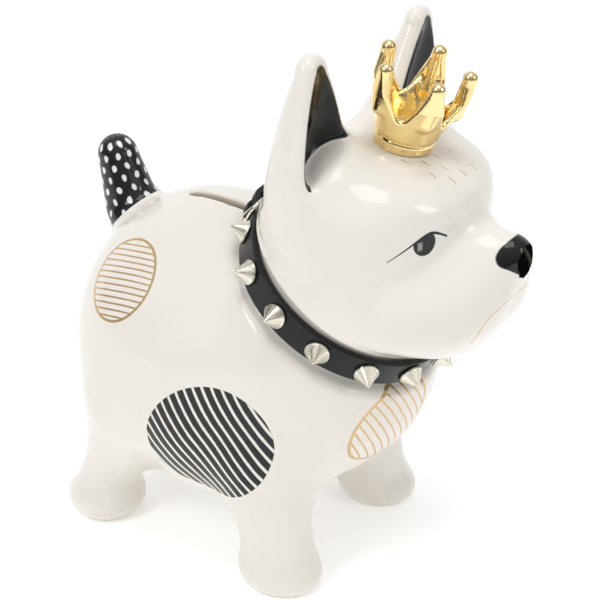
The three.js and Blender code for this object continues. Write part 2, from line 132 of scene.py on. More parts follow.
def surfaceNet(field, low, high, cell, relax=2):
    axes = [l + cell * np.arange(int(math.ceil((h - l) / cell)) + 1) for l, h in zip(low, high)]
    value = field(*np.meshgrid(*axes, indexing="ij"))
    n = value.shape
    cells = tuple(k - 1 for k in n)
    count, total, crossed = np.zeros(cells), np.zeros(cells + (3,)), []
    for axis in range(3):
        start, end = [slice(None)] * 3, [slice(None)] * 3
        start[axis], end[axis] = slice(0, -1), slice(1, None)
        a, b = value[tuple(start)], value[tuple(end)]
        cross = (a < 0) != (b < 0)
        along = np.where(cross, a / np.where(cross, a - b, 1), 0)
        crossed.append((cross, a < 0))
        u, v = (axis + 1) % 3, (axis + 2) % 3
        for du in (0, 1):
            for dv in (0, 1):
                part = [slice(None)] * 3
                part[u], part[v] = slice(du, n[u] - 1 + du), slice(dv, n[v] - 1 + dv)
                here = cross[tuple(part)]
                count += here
                total[..., axis] += along[tuple(part)]
                total[..., u] += here * du
                total[..., v] += here * dv
    live = count > 0
    ids = np.full(cells, -1)
    ids[live] = np.arange(live.sum())
    points = (np.argwhere(live) + total[live] / count[live][:, None]) * cell + np.array(low)
    quads = []
    for axis, (cross, inside) in enumerate(crossed):
        u, v = (axis + 1) % 3, (axis + 2) % 3
        at = np.argwhere(cross)
        at = at[(at[:, u] > 0) & (at[:, u] < n[u] - 1) & (at[:, v] > 0) & (at[:, v] < n[v] - 1)]
        stepU, stepV = np.eye(3, dtype=int)[u], np.eye(3, dtype=int)[v]
        ring = [ids[tuple((at - s).T)] for s in (stepU + stepV, stepV, 0 * stepU, stepU)]
        quad = np.stack(ring, 1)
        flip = ~inside[tuple(at.T)]
        quad[flip] = quad[flip][:, ::-1]
        quads.append(quad)
    quads = np.concatenate(quads)
    points = pullOnto(field, points, cell / 2, 3)
    a, b = quads.ravel(), np.roll(quads, -1, 1).ravel()
    degree = np.bincount(a, minlength=len(points)) + np.bincount(b, minlength=len(points))
    for _ in range(relax):  # evens the mesh out along the surface
        total = [np.bincount(a, points[b, i], len(points)) + np.bincount(b, points[a, i], len(points))
                 for i in range(3)]
        mean = np.stack(total, 1) / np.maximum(degree, 1)[:, None]
        points = pullOnto(field, points + 0.5 * (mean - points), cell / 2, 2)
    return points, quads


def newObject(name, points, faces, place=toRow):
    mesh = bpy.data.meshes.new(name)
    mesh.from_pydata([tuple(p) for p in points], [], [tuple(int(i) for i in f) for f in faces])
    mesh.transform(place)
    mesh.polygons.foreach_set("use_smooth", [True] * len(mesh.polygons))
    thing = bpy.data.objects.new(name, mesh)
    bpy.context.scene.collection.objects.link(thing)
    return thing


def smoothNormals(thing, field, place=toRow, flatNormal=None, flatFaces=()):
    mesh = thing.data
    back = place.inverted()
    p = np.array([back @ v.co for v in mesh.vertices])
    g = slopeOf(field, p)
    g /= np.maximum(np.linalg.norm(g, axis=1), 1e-9)[:, None]
    turn = np.array(place.to_3x3().normalized())
    corner = np.empty(len(mesh.loops), int)
    mesh.loops.foreach_get("vertex_index", corner)
    normals = (g @ turn.T)[corner]
    for f in flatFaces:
        for loop in mesh.polygons[f].loop_indices:
            normals[loop] = flatNormal
    mesh.normals_split_custom_set([tuple(v) for v in normals])


def addPaint(thing, name, field, place=toRow):  # signed distance to a painted edge, in millimetres
    back = place.inverted()
    p = np.array([back @ v.co for v in thing.data.vertices])
    layer = thing.data.attributes.new(name, "FLOAT", "POINT")
    layer.data.foreach_set("value", field(*p.T).astype(np.float32))


def netObject(name, field, low, high, cell, place=toRow, relax=2):
    thing = newObject(name, *surfaceNet(field, low, high, cell, relax), place)
    smoothNormals(thing, field, place)
    return thing


# The fired body is one flow of torso, rump, chest, four legs and tail.
body = {
    "torso": {"c": (0, -1.5, 73.5), "r": (58, 60.5, 60.5)},
    "rump": {"c": (0, 22.5, 78.5), "r": (49.5, 40.5, 52)},
    "chest": {"c": (0, -39.5, 86.5), "r": (48, 43.5, 49), "pitch": -3.5},
    "hindLeg": {"a": (33, 29, 52.5), "b": (36.5, 41.5, 19), "ra": 15.5, "rb": 11},
    "hindFoot": {"c": (36, 43.8, 7.5), "r": (16, 16, 10.5)},
    "foreLeg": {"a": (33.5, -35.5, 49), "b": (34.5, -40.7, 18), "ra": 15, "rb": 14},
    "foreFoot": {"c": (36, -43.5, 5.5), "r": (14.5, 17, 9.5)},
    "tail": {"a": (0, 52.3, 121.4), "b": (0, 58.6, 142), "ra": 11, "rb": 8},
    "bellyHigh": 17.5, "wall": 4.5, "seatWall": 3.2, "soleWall": 7.5, "cell": 1.7,
    "slot": {"from": -8, "to": 22.5, "wide": 4.4, "soft": 1.6},
    "bellyHole": 15,
    "tailSeam": {"y": 56, "z": 124, "lean": 24}, "tailPaint": 2.2, "tailCell": 1.1,
}


def bodyMass(x, y, z):
    side = np.abs(x)
    hind = smin(taper(side, y, z, **body["hindLeg"]), egg(side, y, z, **body["hindFoot"]), 8)
    fore = smin(taper(side, y, z, **body["foreLeg"]), egg(side, y, z, **body["foreFoot"]), 8)
    d = egg(x, y, z, **body["torso"])
    d = smin(d, egg(x, y, z, **body["rump"]), 16)
    d = smin(d, egg(x, y, z, **body["chest"]), 16)
    d = smax(d, body["bellyHigh"] - z, 6)
    return smin(smin(d, hind, 16), fore, 16)


def throat(x, y, z):
    return np.sqrt(x * x + (y - neck["y"]) ** 2 + (z - neck["z"]) ** 2) - (neck["radius"] - body["wall"])


def bodyHollow(x, y, z):
    d = smin(bodyMass(x, y, z) + body["wall"], throat(x, y, z), 4)
    d = smax(d, body["seatWall"] - collarSeat(x, y, z), 2)  # the wall stays whole under the collar
    return smax(d, body["soleWall"] - z, 2)


def coinSlot(x, y, z):
    s = body["slot"]
    half, middle = (s["to"] - s["from"]) / 2, (s["to"] + s["from"]) / 2
    r = s["wide"] / 2
    d = np.hypot(np.maximum(np.abs(y - middle) - half + r, 0), x) - r
    return smax(d, 100 - z, 1)


def bodyShell(x, y, z):
    d = smin(bodyMass(x, y, z), neckField(x, y, z), 8)
    d = smin(d, taper(x, y, z, **body["tail"]), 8)
    d = smax(d, -collarSeat(x, y, z), 3)
    d = smax(d, neckPlace(x, y, z)[0] + 0.15, 1)
    d = smax(d, -bodyHollow(x, y, z), 1.2)
    d = smax(d, -coinSlot(x, y, z), body["slot"]["soft"])
    d = smax(d, -smax(np.hypot(x, y) - body["bellyHole"], z - 40, 1), 1.2)
    return smax(d, -z, 1.8)


def tailEdge(x, y, z):  # the black glaze starts where the tail leaves the curve of the rump
    return np.maximum(body["tailPaint"] - bodyMass(x, y, z), 25 - y)


def seamPlane():  # a point of the seam and the direction that the tail leaves in
    seam = body["tailSeam"]
    lean = math.radians(seam["lean"])
    co = toRow @ Vector((0, seam["y"], seam["z"]))
    return co, Vector((0, math.sin(lean), math.cos(lean)))


def cutAtSeam(thing, above):  # keeps the side of the tail's seam that is asked for, and closes it
    co, normal = seamPlane()
    bm = bmesh.new()
    bm.from_mesh(thing.data)
    cut = bmesh.ops.bisect_plane(bm, geom=bm.verts[:] + bm.edges[:] + bm.faces[:], plane_co=co,
                                 plane_no=normal, clear_inner=above, clear_outer=not above)
    edges = [g for g in cut["geom_cut"] if isinstance(g, bmesh.types.BMEdge)]
    caps = bmesh.ops.triangle_fill(bm, edges=edges, use_beauty=True)["geom"]
    caps = [g for g in caps if isinstance(g, bmesh.types.BMFace)]
    out = -normal if above else normal
    for face in caps:
        face.normal_update()
        if face.normal.dot(out) < 0:
            face.normal_flip()
    bm.faces.index_update()
    capIndices = [f.index for f in caps]
    bm.to_mesh(thing.data)
    bm.free()
    smoothNormals(thing, bodyShell, flatNormal=out, flatFaces=capIndices)
    return thing


def makeBody():
    low, high = (-63, -94, -3), (63, 72, 142)
    shell = newObject("bodyShell", *surfaceNet(bodyShell, low, high, body["cell"]))
    cutAtSeam(shell, above=False)
    addPaint(shell, "depth", bodyHollow)
    addPaint(shell, "tailBlack", tailEdge)
    tail = newObject("tailPiece", *surfaceNet(bodyShell, (-24, 30, 108), (24, 76, 156), body["tailCell"]))
    cutAtSeam(tail, above=True)
    addPaint(tail, "tailBlack", tailEdge)
    return shell, tail


bodyPiece, tailPiece = makeBody()
print("body and tail made")

# The fired head: skull, cheeks, muzzle, bridge of the nose, lips and ears.
head = {
    "skull": {"c": (0, -61, 149.3), "r": (46, 40.3, 27.5), "pitch": -15.5},
    "cheek": {"c": (17.5, -72.2, 125), "r": (26.5, 39, 19.5), "pitch": 2.3},
    "muzzle": {"c": (0, -91.8, 122), "r": (26.3, 20.8, 21)},
    "bridge": {"a": (0, -92, 141.5), "b": (0, -112.3, 142), "ra": 10.5, "rb": 7.8},
    "lip": {"c": (8, -97.5, 130.2), "r": (12, 17.1, 11.2)},
    "ear": {"a": (30.5, -52, 168), "b": (34.6, -55.8, 204.8), "ra": 17.5, "rb": 6.6, "flat": 0.72},
    "earBowl": {"a": (30, -62.5, 172), "b": (34.8, -62.2, 206.4), "ra": 13.2, "rb": 2.9, "flat": 0.8},
    "bowlFloor": 4.4, "bowlFoot": 168,
    "nose": {"lean": 25, "middle": 80.5, "wide": 9.7, "below": 8.7, "above": 6.7, "pointed": 1.25,
             "full": 2.2, "relief": 1.5},
    "cell": 1.35,
}


def noseHigh(y, z):  # height above the widest part of the nose, along its sloping front
    lean = math.radians(head["nose"]["lean"])
    return z * math.cos(lean) + y * math.sin(lean) - head["nose"]["middle"]


def noseEdge(x, y, z):  # millimetres outside a rounded shield, pointed below, on the front of the muzzle
    n = head["nose"]
    high = noseHigh(y, z)
    power = np.where(high < 0, n["pointed"], n["full"])
    reach = np.where(high < 0, n["below"], n["above"])
    shield = ((np.abs(x) / n["wide"]) ** power + (np.abs(high) / reach) ** power) ** (1 / power)
    return np.maximum((shield - 1) * 7.5, y + 104)


def skullField(x, y, z):
    d = egg(x, y, z, **head["skull"])
    d = smin(d, egg(np.sqrt(x * x + 30), y, z, **head["cheek"]), 14)
    d = smin(d, egg(x, y, z, **head["muzzle"]), 10)
    crownHigh = 0.968 * (z - 174.4) - 0.25 * (y + 71.2)
    return smax(d, crownHigh + 0.2, 8)  # the crown sits on a flattened top


def faceField(x, y, z):
    d = smin(skullField(x, y, z), taper(x, y, z, **head["bridge"]), 10)
    d = smin(d, egg(np.sqrt(x * x + 12), y, z, **head["lip"]), 12)
    n = head["nose"]
    high = noseHigh(y, z) + 0.6
    swell = np.exp(-((x / n["wide"]) ** 2 + (high / n["below"]) ** 2) ** 1.5 * 1.6)
    return d - n["relief"] * swell * np.clip((-96 - y) / 8, 0, 1)


def earBowl(x, y, z):  # the open front of an ear, which stops at the dome of the skull
    d = leaf(np.abs(x), y, z, **head["earBowl"])
    return smax(d, head["bowlFloor"] - skullField(x, y, z), 3)


def earEdge(x, y, z):  # the bowl's black glaze ends where the white dome of the skull begins
    dome = np.maximum(head["bowlFloor"] + 0.9 - skullField(x, y, z), head["bowlFoot"] - z)
    return np.maximum(earBowl(x, y, z) - 0.8, dome)


def headHollow(x, y, z):
    return smin(skullField(x, y, z) + body["wall"], throat(x, y, z), 4)


def headShell(x, y, z):
    d = smin(faceField(x, y, z), leaf(np.abs(x), y, z, **head["ear"]), 12)
    d = smin(d, neckField(x, y, z), 8)
    d = smax(d, -earBowl(x, y, z), 2.4)
    d = smax(d, -collarSeat(x, y, z), 3)
    d = smax(d, 0.15 - neckPlace(x, y, z)[0], 1)
    return smax(d, -headHollow(x, y, z), 1.2)


def makeHead():
    thing = netObject("headShell", headShell, (-60, -120, 84), (60, -8, 216), head["cell"])
    addPaint(thing, "earBlack", earEdge)
    addPaint(thing, "noseBlack", noseEdge)
    addPaint(thing, "depth", headHollow)
    return thing


headPiece = makeHead()
print("head made")

# The crown is a flared cup with five ball-tipped points.
crown = {"y": -70.7, "z": 174.0, "lean": 15, "base": 10.5, "top": 17.0, "low": 13.5, "high": 28,
         "points": 5, "first": 11, "ball": 2.2, "ballHigh": 28.6, "wall": 2.6, "cell": 0.6, "groove": 4.2,
         "steep": 2.3, "prongLow": 15, "prong": 2.5, "neck": 1.85}
crownPlace = Matrix.Translation((0, crown["y"], crown["z"])) @ Matrix.Rotation(
    math.radians(crown["lean"]), 4, "X")


def crownField(x, y, z):
    r, a = np.hypot(x, y), np.arctan2(y, x)
    flare = (crown["top"] - crown["base"]) * np.clip(z / 20, 0, 1) ** 1.4
    middle = crown["base"] + flare - crown["wall"] / 2
    wave = np.abs(np.cos(crown["points"] / 2 * (a - math.radians(crown["first"]))))
    steep = crown["steep"]
    rim = crown["low"] + (crown["high"] - crown["low"]) * wave ** steep
    climb = steep * crown["points"] / 2 * (crown["high"] - crown["low"]) * wave ** (steep - 1) * np.sqrt(
        np.maximum(1 - wave ** 2, 0)) / np.maximum(r, 6)
    groove = 0.7 * np.exp(-((z - crown["groove"]) / 0.8) ** 2)
    wall = np.abs(r - middle) - crown["wall"] / 2 + groove * (r > middle)
    d = smax(wall, (z - rim) / np.sqrt(1 + climb ** 2), 2)
    d = smin(d, roundBox(r - middle, np.abs(z + 1.5) - 5, 1), 1.5)  # the floor of the cup
    step = 2 * math.pi / crown["points"]
    turned = np.mod(a - math.radians(crown["first"]) + step / 2, step) - step / 2
    tip = crown["top"] - crown["wall"] / 2
    out, across = r * np.cos(turned), r * np.sin(turned)
    ball = np.sqrt((out - tip) ** 2 + across ** 2 + (z - crown["ballHigh"]) ** 2) - crown["ball"]
    prong = taper(out, across, z, (tip - 1.2, 0, crown["prongLow"]), (tip, 0, crown["ballHigh"]),
                  crown["prong"], crown["neck"])
    d = smin(smin(d, prong, 3), ball, 1.6)
    c, s = math.cos(math.radians(crown["lean"])), math.sin(math.radians(crown["lean"]))
    skull = skullField(x, crown["y"] + y * c - z * s, crown["z"] + y * s + z * c)
    return smax(smax(d, 0.1 - skull, 0.8), -6 - z, 0.5)


crownPiece = netObject("crownPiece", crownField, (-21, -21, -8), (21, 21, 33), crown["cell"],
                       toRow @ crownPlace)
print("crown made")

# The collar's parts are drawn in its own plane, with +Y towards the nape.
strap = {"inner": 40.2, "thick": 2.4, "wide": 11.8, "over": 42.9, "crest": 44.9, "edge": 0.75,
         "tip": 60, "start": 93.5, "lift": (110.5, 99), "drop": (90, 82), "cell": 0.55}
bar = {"angle": 95, "r": 42.4}
rung = {"angle": 113, "r": 44}
keeper = {"angle": 76, "half": 3, "low": 40, "high": 45.6, "skin": 1, "cell": 0.35}
studs = {"count": 12, "first": 122, "step": 26, "r": 4.5, "high": 6.4, "foot": 0.7, "bore": 1.4}


def polar(r, angle):
    return r * math.cos(math.radians(angle)), r * math.sin(math.radians(angle))


barX, barY = polar(bar["r"], bar["angle"])
rungX, rungY = polar(rung["r"], rung["angle"])
frameLong = math.hypot(rungX - barX, rungY - barY)
framePlace = collarPlace @ Matrix.Translation((barX, barY, 0)) @ Matrix.Rotation(
    math.atan2(rungY - barY, rungX - barX), 4, "Z")


def ease(t):
    t = np.clip(t, 0, 1)
    return t * t * (3 - 2 * t)


def bandField(r, z, middle, half, endGap):  # a flat band with rounded edges; endGap > 0 is past its end
    side = roundBox(np.abs(r - middle) - half, np.abs(z) - strap["wide"] / 2, strap["edge"])
    return smax(side, endGap, 1)


def strapField(x, y, z):
    r, a = np.hypot(x, y), np.degrees(np.arctan2(y, x)) % 360
    mm = math.radians(1) * 43
    half = strap["thick"] / 2
    recess = 0.55 * ease((keeper["half"] + 2.4 - np.abs(a - keeper["angle"])) / 1.2)
    gapEnd = np.minimum(a - strap["start"], strap["lift"][0] + 1 - a) * mm
    d = bandField(r, z, strap["inner"] + half + recess, half - recess, gapEnd)
    up = strap["crest"] - strap["inner"]
    down = strap["crest"] - strap["over"]
    inner = strap["inner"] + up * ease((strap["lift"][0] - a) / (strap["lift"][0] - strap["lift"][1]))
    inner = inner - down * ease((strap["drop"][0] - a) / (strap["drop"][0] - strap["drop"][1]))
    toTip = (a - strap["tip"]) * mm
    roundTip = np.hypot(np.maximum(strap["wide"] / 2 - toTip, 0), z) - strap["wide"] / 2
    ends = smax(roundTip, (a - strap["lift"][0] - 1) * mm, 1)
    d = smin(d, bandField(r, z, inner + half, half, ends), 0.5)
    fromBar = np.hypot(x - barX, y - barY)
    fold = roundBox(np.abs(fromBar - 1.85) - 0.35, np.abs(z) - strap["wide"] / 2, 0.3)
    d = smin(d, fold, 0.6)
    d = smax(d, 1.47 - fromBar, 0.3)
    slit = smax(smax(np.abs(z) - 1.65, np.abs(a - 100.5) * mm - 5.6, 0.8), 42.8 - r, 0.8)
    slit = smin(slit, smax(np.abs(z) - 1.65, fromBar - 2.6, 0.5), 0.5)
    d = smax(d, -slit, 0.6)
    for angle in (87.5, 64.5):
        hole = np.hypot((a - angle) * mm, z) - 1.1
        d = smax(d, -smax(hole, 42.65 - r, 0.2), 0.5)
    number = np.clip(np.round((np.where(a < 90, a + 360, a) - studs["first"]) / studs["step"]), 0,
                     studs["count"] - 1)
    off = a - (studs["first"] + studs["step"] * number)
    along = r * np.sin(np.radians(off))
    hole = np.hypot(along, z)
    d = smax(d, 1.5 - hole, 0.3)
    return smax(d, -smax(hole - 3, r - strap["inner"] - 1.1, 0.2), 0.3)


strapPiece = netObject("collarStrap", strapField, (-49, -49, -7.2), (49, 50, 7.2), strap["cell"],
                       collarPlace, relax=1)
print("strap made")


def keeperField(x, y, z):  # x along the radius, y along the strap
    middle = (keeper["low"] + keeper["high"] + keeper["skin"]) / 2
    halfR = (keeper["high"] + keeper["skin"] - keeper["low"]) / 2
    halfZ = strap["wide"] / 2 + 0.3 + keeper["skin"]
    out = roundBox(np.abs(x - middle) - halfR, np.abs(z) - halfZ, 1.1)
    into = roundBox(np.abs(x - middle) - halfR + keeper["skin"],
                    np.abs(z) - halfZ + keeper["skin"], 0.4)
    ring = smax(out, -into, 0.4)
    return smax(ring, np.abs(y) - math.radians(keeper["half"]) * 43, 0.6)


keeperPlace = collarPlace @ Matrix.Rotation(math.radians(keeper["angle"]), 4, "Z")
keeperPiece = netObject("strapKeeper", keeperField, (39, -3.2, -8.2), (47.6, 3.2, 8.2),
                        keeper["cell"], keeperPlace, relax=1)


# The buckle is a wire frame, and a tongue that turns on its bar.
wire = {"r": 0.8, "half": 7.4, "corner": 2.2, "sides": 16}


def sweepRing(path, r, sides):  # a closed round wire along a flat loop in the XZ plane
    path = np.array(path)
    ahead = np.roll(path, -1, 0) - np.roll(path, 1, 0)
    ahead /= np.linalg.norm(ahead, axis=1)[:, None]
    side = np.stack([ahead[:, 2], 0 * ahead[:, 0], -ahead[:, 0]], 1)
    turn = np.linspace(0, 2 * math.pi, sides, endpoint=False)
    points = (path[:, None] + r * (np.cos(turn)[None, :, None] * side[:, None]
                                   + np.sin(turn)[None, :, None] * np.array([0, 1, 0])))
    count = len(path)
    faces = [(i * sides + j, i * sides + (j + 1) % sides, (i + 1) % count * sides + (j + 1) % sides,
              (i + 1) % count * sides + j) for i in range(count) for j in range(sides)]
    return points.reshape(-1, 3), faces


def wireFrame():
    path = []
    corners = [(0, -1, 1.1), (frameLong, -1, wire["corner"]), (frameLong, 1, wire["corner"]), (0, 1, 1.1)]
    for k, (x, sign, c) in enumerate(corners):
        inX = c if x == 0 else x - c
        for i in range(7):
            a = math.radians(-180 + 90 * k + 15 * i) if k else math.radians(180 + 15 * i)
            path.append((inX + c * math.cos(a), 0, sign * (wire["half"] - c) + c * math.sin(a)))
    return newObject("buckleFrame", *sweepRing(path, wire["r"], wire["sides"]), framePlace)


def tongueField(x, y, z):
    half = 1.2
    ring = roundBox(np.abs(np.hypot(x, y) - 1.78) - 0.37, np.abs(z) - half, 0.3)
    under = wire["r"] + 0.3
    width = half * (1 - 0.35 * ease(x / frameLong))
    shaft = roundBox(np.abs(y + under + 0.6) - 0.6, np.abs(z) - width, 0.45)
    shaft = smax(shaft, np.abs(x - (frameLong + 1.3) / 2) - (frameLong + 1.3) / 2 - 0.3, 0.5)
    return smax(smin(ring, shaft, 0.6), 1.38 - np.hypot(x, y), 0.15)


framePiece = wireFrame()
tonguePiece = netObject("buckleTongue", tongueField, (-2.8, -3.2, -1.8), (frameLong + 2.4, 2.8, 1.8), 0.24,
                        framePlace, relax=1)
print("buckle made")


def turnedMesh(profile, sides):  # closed turned piece along +Z, from the axis back to the axis
    points, faces = [(0, 0, profile[0][1])], []
    rings = profile[1:-1]
    for r, h in rings:
        points += [(r * math.cos(2 * math.pi * i / sides), r * math.sin(2 * math.pi * i / sides), h)
                   for i in range(sides)]
    points.append((0, 0, profile[-1][1]))
    last = len(points) - 1
    for i in range(sides):
        j = (i + 1) % sides
        faces.append((0, 1 + j, 1 + i))
        for k in range(len(rings) - 1):
            a, b = 1 + k * sides, 1 + (k + 1) * sides
            faces.append((a + i, a + j, b + j, b + i))
        top = 1 + (len(rings) - 1) * sides
        faces.append((top + i, top + j, last))
    return points, faces


def arcPoints(cr, cz, r, fromDeg, toDeg, steps):
    turns = [math.radians(fromDeg + (toDeg - fromDeg) * i / steps) for i in range(steps + 1)]
    return [(cr + r * math.cos(t), cz + r * math.sin(t)) for t in turns]


def stoodOn(radius, angle):  # places a turned piece on the strap with its axis pointing outwards
    return collarPlace @ Matrix.Rotation(math.radians(angle), 4, "Z") @ Matrix.Translation(
        (radius, 0, 0)) @ Matrix.Rotation(math.pi / 2, 4, "Y")


def sharpen(thing, degrees):  # keeps turned edges crisp and the rest smooth
    bm = bmesh.new()
    bm.from_mesh(thing.data)
    for e in bm.edges:
        e.smooth = len(e.link_faces) == 2 and e.calc_face_angle(0) < math.radians(degrees)
    bm.to_mesh(thing.data)
    bm.free()


def coneProfile():
    r, high = studs["r"], studs["high"]
    inside = [(0, 2.6), (studs["bore"], 2.6), (studs["bore"], 0.25), (studs["bore"] + 0.25, 0)]
    foot = arcPoints(r - 0.25, 0.25, 0.25, -90, 0, 3) + arcPoints(r - 0.28, 0.62, 0.28, 0, 60, 4)
    flank = [(r - 0.25 - (r - 0.6) * t, 0.9 + (high - 1.25) * t) for t in (0.04, 0.3, 0.6, 0.92)]
    tip = arcPoints(0, high - 0.42, 0.42, 38, 88, 4)
    return inside + foot + flank + tip + [(0, high)]


def screwProfile():
    flatHead = [(0, 0), (2.2, 0)] + arcPoints(2.25, 0.25, 0.25, -60, 0, 3) + [(2.5, 0.6), (1.1, 0.6)]
    thread = []
    for k in range(7):
        z = 0.9 + 0.5 * k
        thread += [(0.9, z), (1.1, z + 0.18), (1.1, z + 0.25), (0.9, z + 0.43)]
    return flatHead + thread + [(0.8, 4.6), (0, 4.6)]


def makeStuds():
    cones, screws = [], []
    foot = strap["inner"] + strap["thick"] + 0.3
    for i in range(studs["count"]):
        angle = studs["first"] + studs["step"] * i
        conePlace = stoodOn(foot, angle)
        cone = newObject(f"coneStud{i + 1:02d}", *turnedMesh(coneProfile(), 64), conePlace)
        screw = newObject(f"studScrew{i + 1:02d}", *turnedMesh(screwProfile(), 24),
                          stoodOn(strap["inner"] + 0.1, angle))
        sharpen(cone, 35)
        sharpen(screw, 30)
        for piece in (cone, screw):
            addPaint(piece, "turned", lambda x, y, z: z, conePlace)
        cones.append(cone)
        screws.append(screw)
    return cones, screws


conePieces, screwPieces = makeStuds()
print("studs made")

# The belly stopper is a soft cup with a flange and a grip bar.
stopper = {"plug": 14.7, "flange": 17, "flangeThick": 2.5, "plugHigh": 9.3, "floor": 2.2, "skin": 2.7,
           "gap": 0.3, "cell": 0.8}


def stopperField(x, y, z):
    r = np.hypot(x, y)
    s = stopper
    flange = roundBox(r - s["flange"], np.abs(z + s["flangeThick"] / 2) - s["flangeThick"] / 2, 0.8)
    ribs = 0.2 * np.cos(z * 2.4) - 0.2
    plug = roundBox(r - s["plug"] - ribs, np.abs(z - s["plugHigh"] / 2) - s["plugHigh"] / 2, 0.7)
    d = smin(flange, plug, 0.8)
    d = smax(d, -smax(r - s["plug"] + s["skin"], s["floor"] - z, 2), 0.8)
    under = z + s["flangeThick"]
    dish = np.sqrt(r ** 2 + (under + 60) ** 2) - 60.6  # a shallow finger dish under the flange
    grip = roundBox(roundBox(np.abs(x) - 7, np.abs(y) - 1.5, 1.2), np.abs(under + 1) - 1.1, 0.5)
    return smin(smax(d, -dish, 0.5), grip, 0.8)


stopperPlace = toRow @ Matrix.Translation((0, 0, body["bellyHigh"] - stopper["gap"]))
stopperPiece = netObject("bellyStopper", stopperField, (-19, -19, -6), (19, 19, 11), stopper["cell"],
                         stopperPlace)
print("stopper made")


def newMaterial(name):
    mat = bpy.data.materials.new(name)
    mat.use_nodes = True
    tree = mat.node_tree
    return mat, tree, tree.nodes["Principled BSDF"]


def calc(tree, op, a, b=None, c=None, clamp=False):
    node = tree.nodes.new("ShaderNodeMath")
    node.operation = op
    node.use_clamp = clamp
    for socket, value in zip(node.inputs, (a, b, c)):
        if isinstance(value, bpy.types.NodeSocket):
            tree.links.new(value, socket)
        elif value is not None:
            socket.default_value = value
    return node.outputs[0]


def vecCalc(tree, op, a, b=None, scale=None):
    node = tree.nodes.new("ShaderNodeVectorMath")
    node.operation = op
    for socket, value in zip(node.inputs, (a, b)):
        if isinstance(value, bpy.types.NodeSocket):
            tree.links.new(value, socket)
        elif value is not None:
            socket.default_value = value
    if scale is not None:
        node.inputs["Scale"].default_value = scale
    return node.outputs["Value"] if op in ("DOT_PRODUCT", "LENGTH") else node.outputs["Vector"]


def mixColor(tree, factor, a, b):
    node = tree.nodes.new("ShaderNodeMix")
    node.data_type = "RGBA"
    for key, value in ((0, factor), (6, a), (7, b)):
        if isinstance(value, bpy.types.NodeSocket):
            tree.links.new(value, node.inputs[key])
        else:
            node.inputs[key].default_value = value
    return node.outputs[2]


def lengthOf(tree, a, b):
    squares = calc(tree, "ADD", calc(tree, "MULTIPLY", a, a), calc(tree, "MULTIPLY", b, b))
    return calc(tree, "SQRT", squares)


def below(tree, value, limit, soft=0.12):  # 1 where the value in millimetres is under the limit
    return edgeMask(tree, calc(tree, "SUBTRACT", value, limit), soft)


def edgeMask(tree, distance, soft=0.12):  # 1 where the distance in millimetres is below 0
    return calc(tree, "MULTIPLY_ADD", distance, -1 / (2 * soft), 0.5, clamp=True)


def attribute(tree, name):
    node = tree.nodes.new("ShaderNodeAttribute")
    node.attribute_name = name
    return node.outputs["Fac"]


def placeInPotFrame(tree):  # the rest place in millimetres, in the potter's frame
    coords = tree.nodes.new("ShaderNodeTexCoord")
    scaled = vecCalc(tree, "SCALE", coords.outputs["Object"], scale=1000)
    return vecCalc(tree, "SUBTRACT", scaled, (0, shiftY, 0))


def bumpFrom(tree, height, distance, strength, shader):
    node = tree.nodes.new("ShaderNodeBump")
    node.inputs["Distance"].default_value = distance
    node.inputs["Strength"].default_value = strength
    tree.links.new(height, node.inputs["Height"])
    tree.links.new(node.outputs["Normal"], shader.inputs["Normal"])


def newGroup(name, inputs, outputs):
    tree = bpy.data.node_groups.new(name, "ShaderNodeTree")
    for label, kind, value in inputs:
        made = tree.interface.new_socket(label, in_out="INPUT", socket_type=kind)
        made.default_value = value
    for label, kind in outputs:
        tree.interface.new_socket(label, in_out="OUTPUT", socket_type=kind)
    return tree, tree.nodes.new("NodeGroupInput").outputs, tree.nodes.new("NodeGroupOutput").inputs


def useGroup(tree, group, **values):
    node = tree.nodes.new("ShaderNodeGroup")
    node.node_tree = group
    for label, value in values.items():
        socket = node.inputs[label]
        if isinstance(value, bpy.types.NodeSocket):
            tree.links.new(value, socket)
        else:
            socket.default_value = value
    return node.outputs


def noise(tree, vector, scale, detail=2.0, rough=0.5):
    node = tree.nodes.new("ShaderNodeTexNoise")
    node.inputs["Detail"].default_value = detail
    node.inputs["Roughness"].default_value = rough
    if isinstance(scale, bpy.types.NodeSocket):
        tree.links.new(scale, node.inputs["Scale"])
    else:
        node.inputs["Scale"].default_value = scale
    tree.links.new(vector, node.inputs["Vector"])
    return node.outputs["Fac"]


def wanderGroup():  # slow and fine unevenness, for tone, gloss and relief
    tree, given, out = newGroup("surfaceWander", [("Vector", "NodeSocketVector", (0, 0, 0)),
                                                  ("Slow", "NodeSocketFloat", 0.05),
                                                  ("Fine", "NodeSocketFloat", 1.2)],
                                [("Tone", "NodeSocketFloat"), ("Gloss", "NodeSocketFloat"),
                                 ("Relief", "NodeSocketFloat")])
    slow = noise(tree, given["Vector"], given["Slow"], 3.0)
    fine = noise(tree, given["Vector"], given["Fine"], 4.0, 0.6)
    tree.links.new(slow, out["Tone"])
    tree.links.new(calc(tree, "MULTIPLY", slow, fine), out["Gloss"])
    tree.links.new(calc(tree, "MULTIPLY_ADD", fine, 0.25, slow), out["Relief"])
    return tree


wander = wanderGroup()


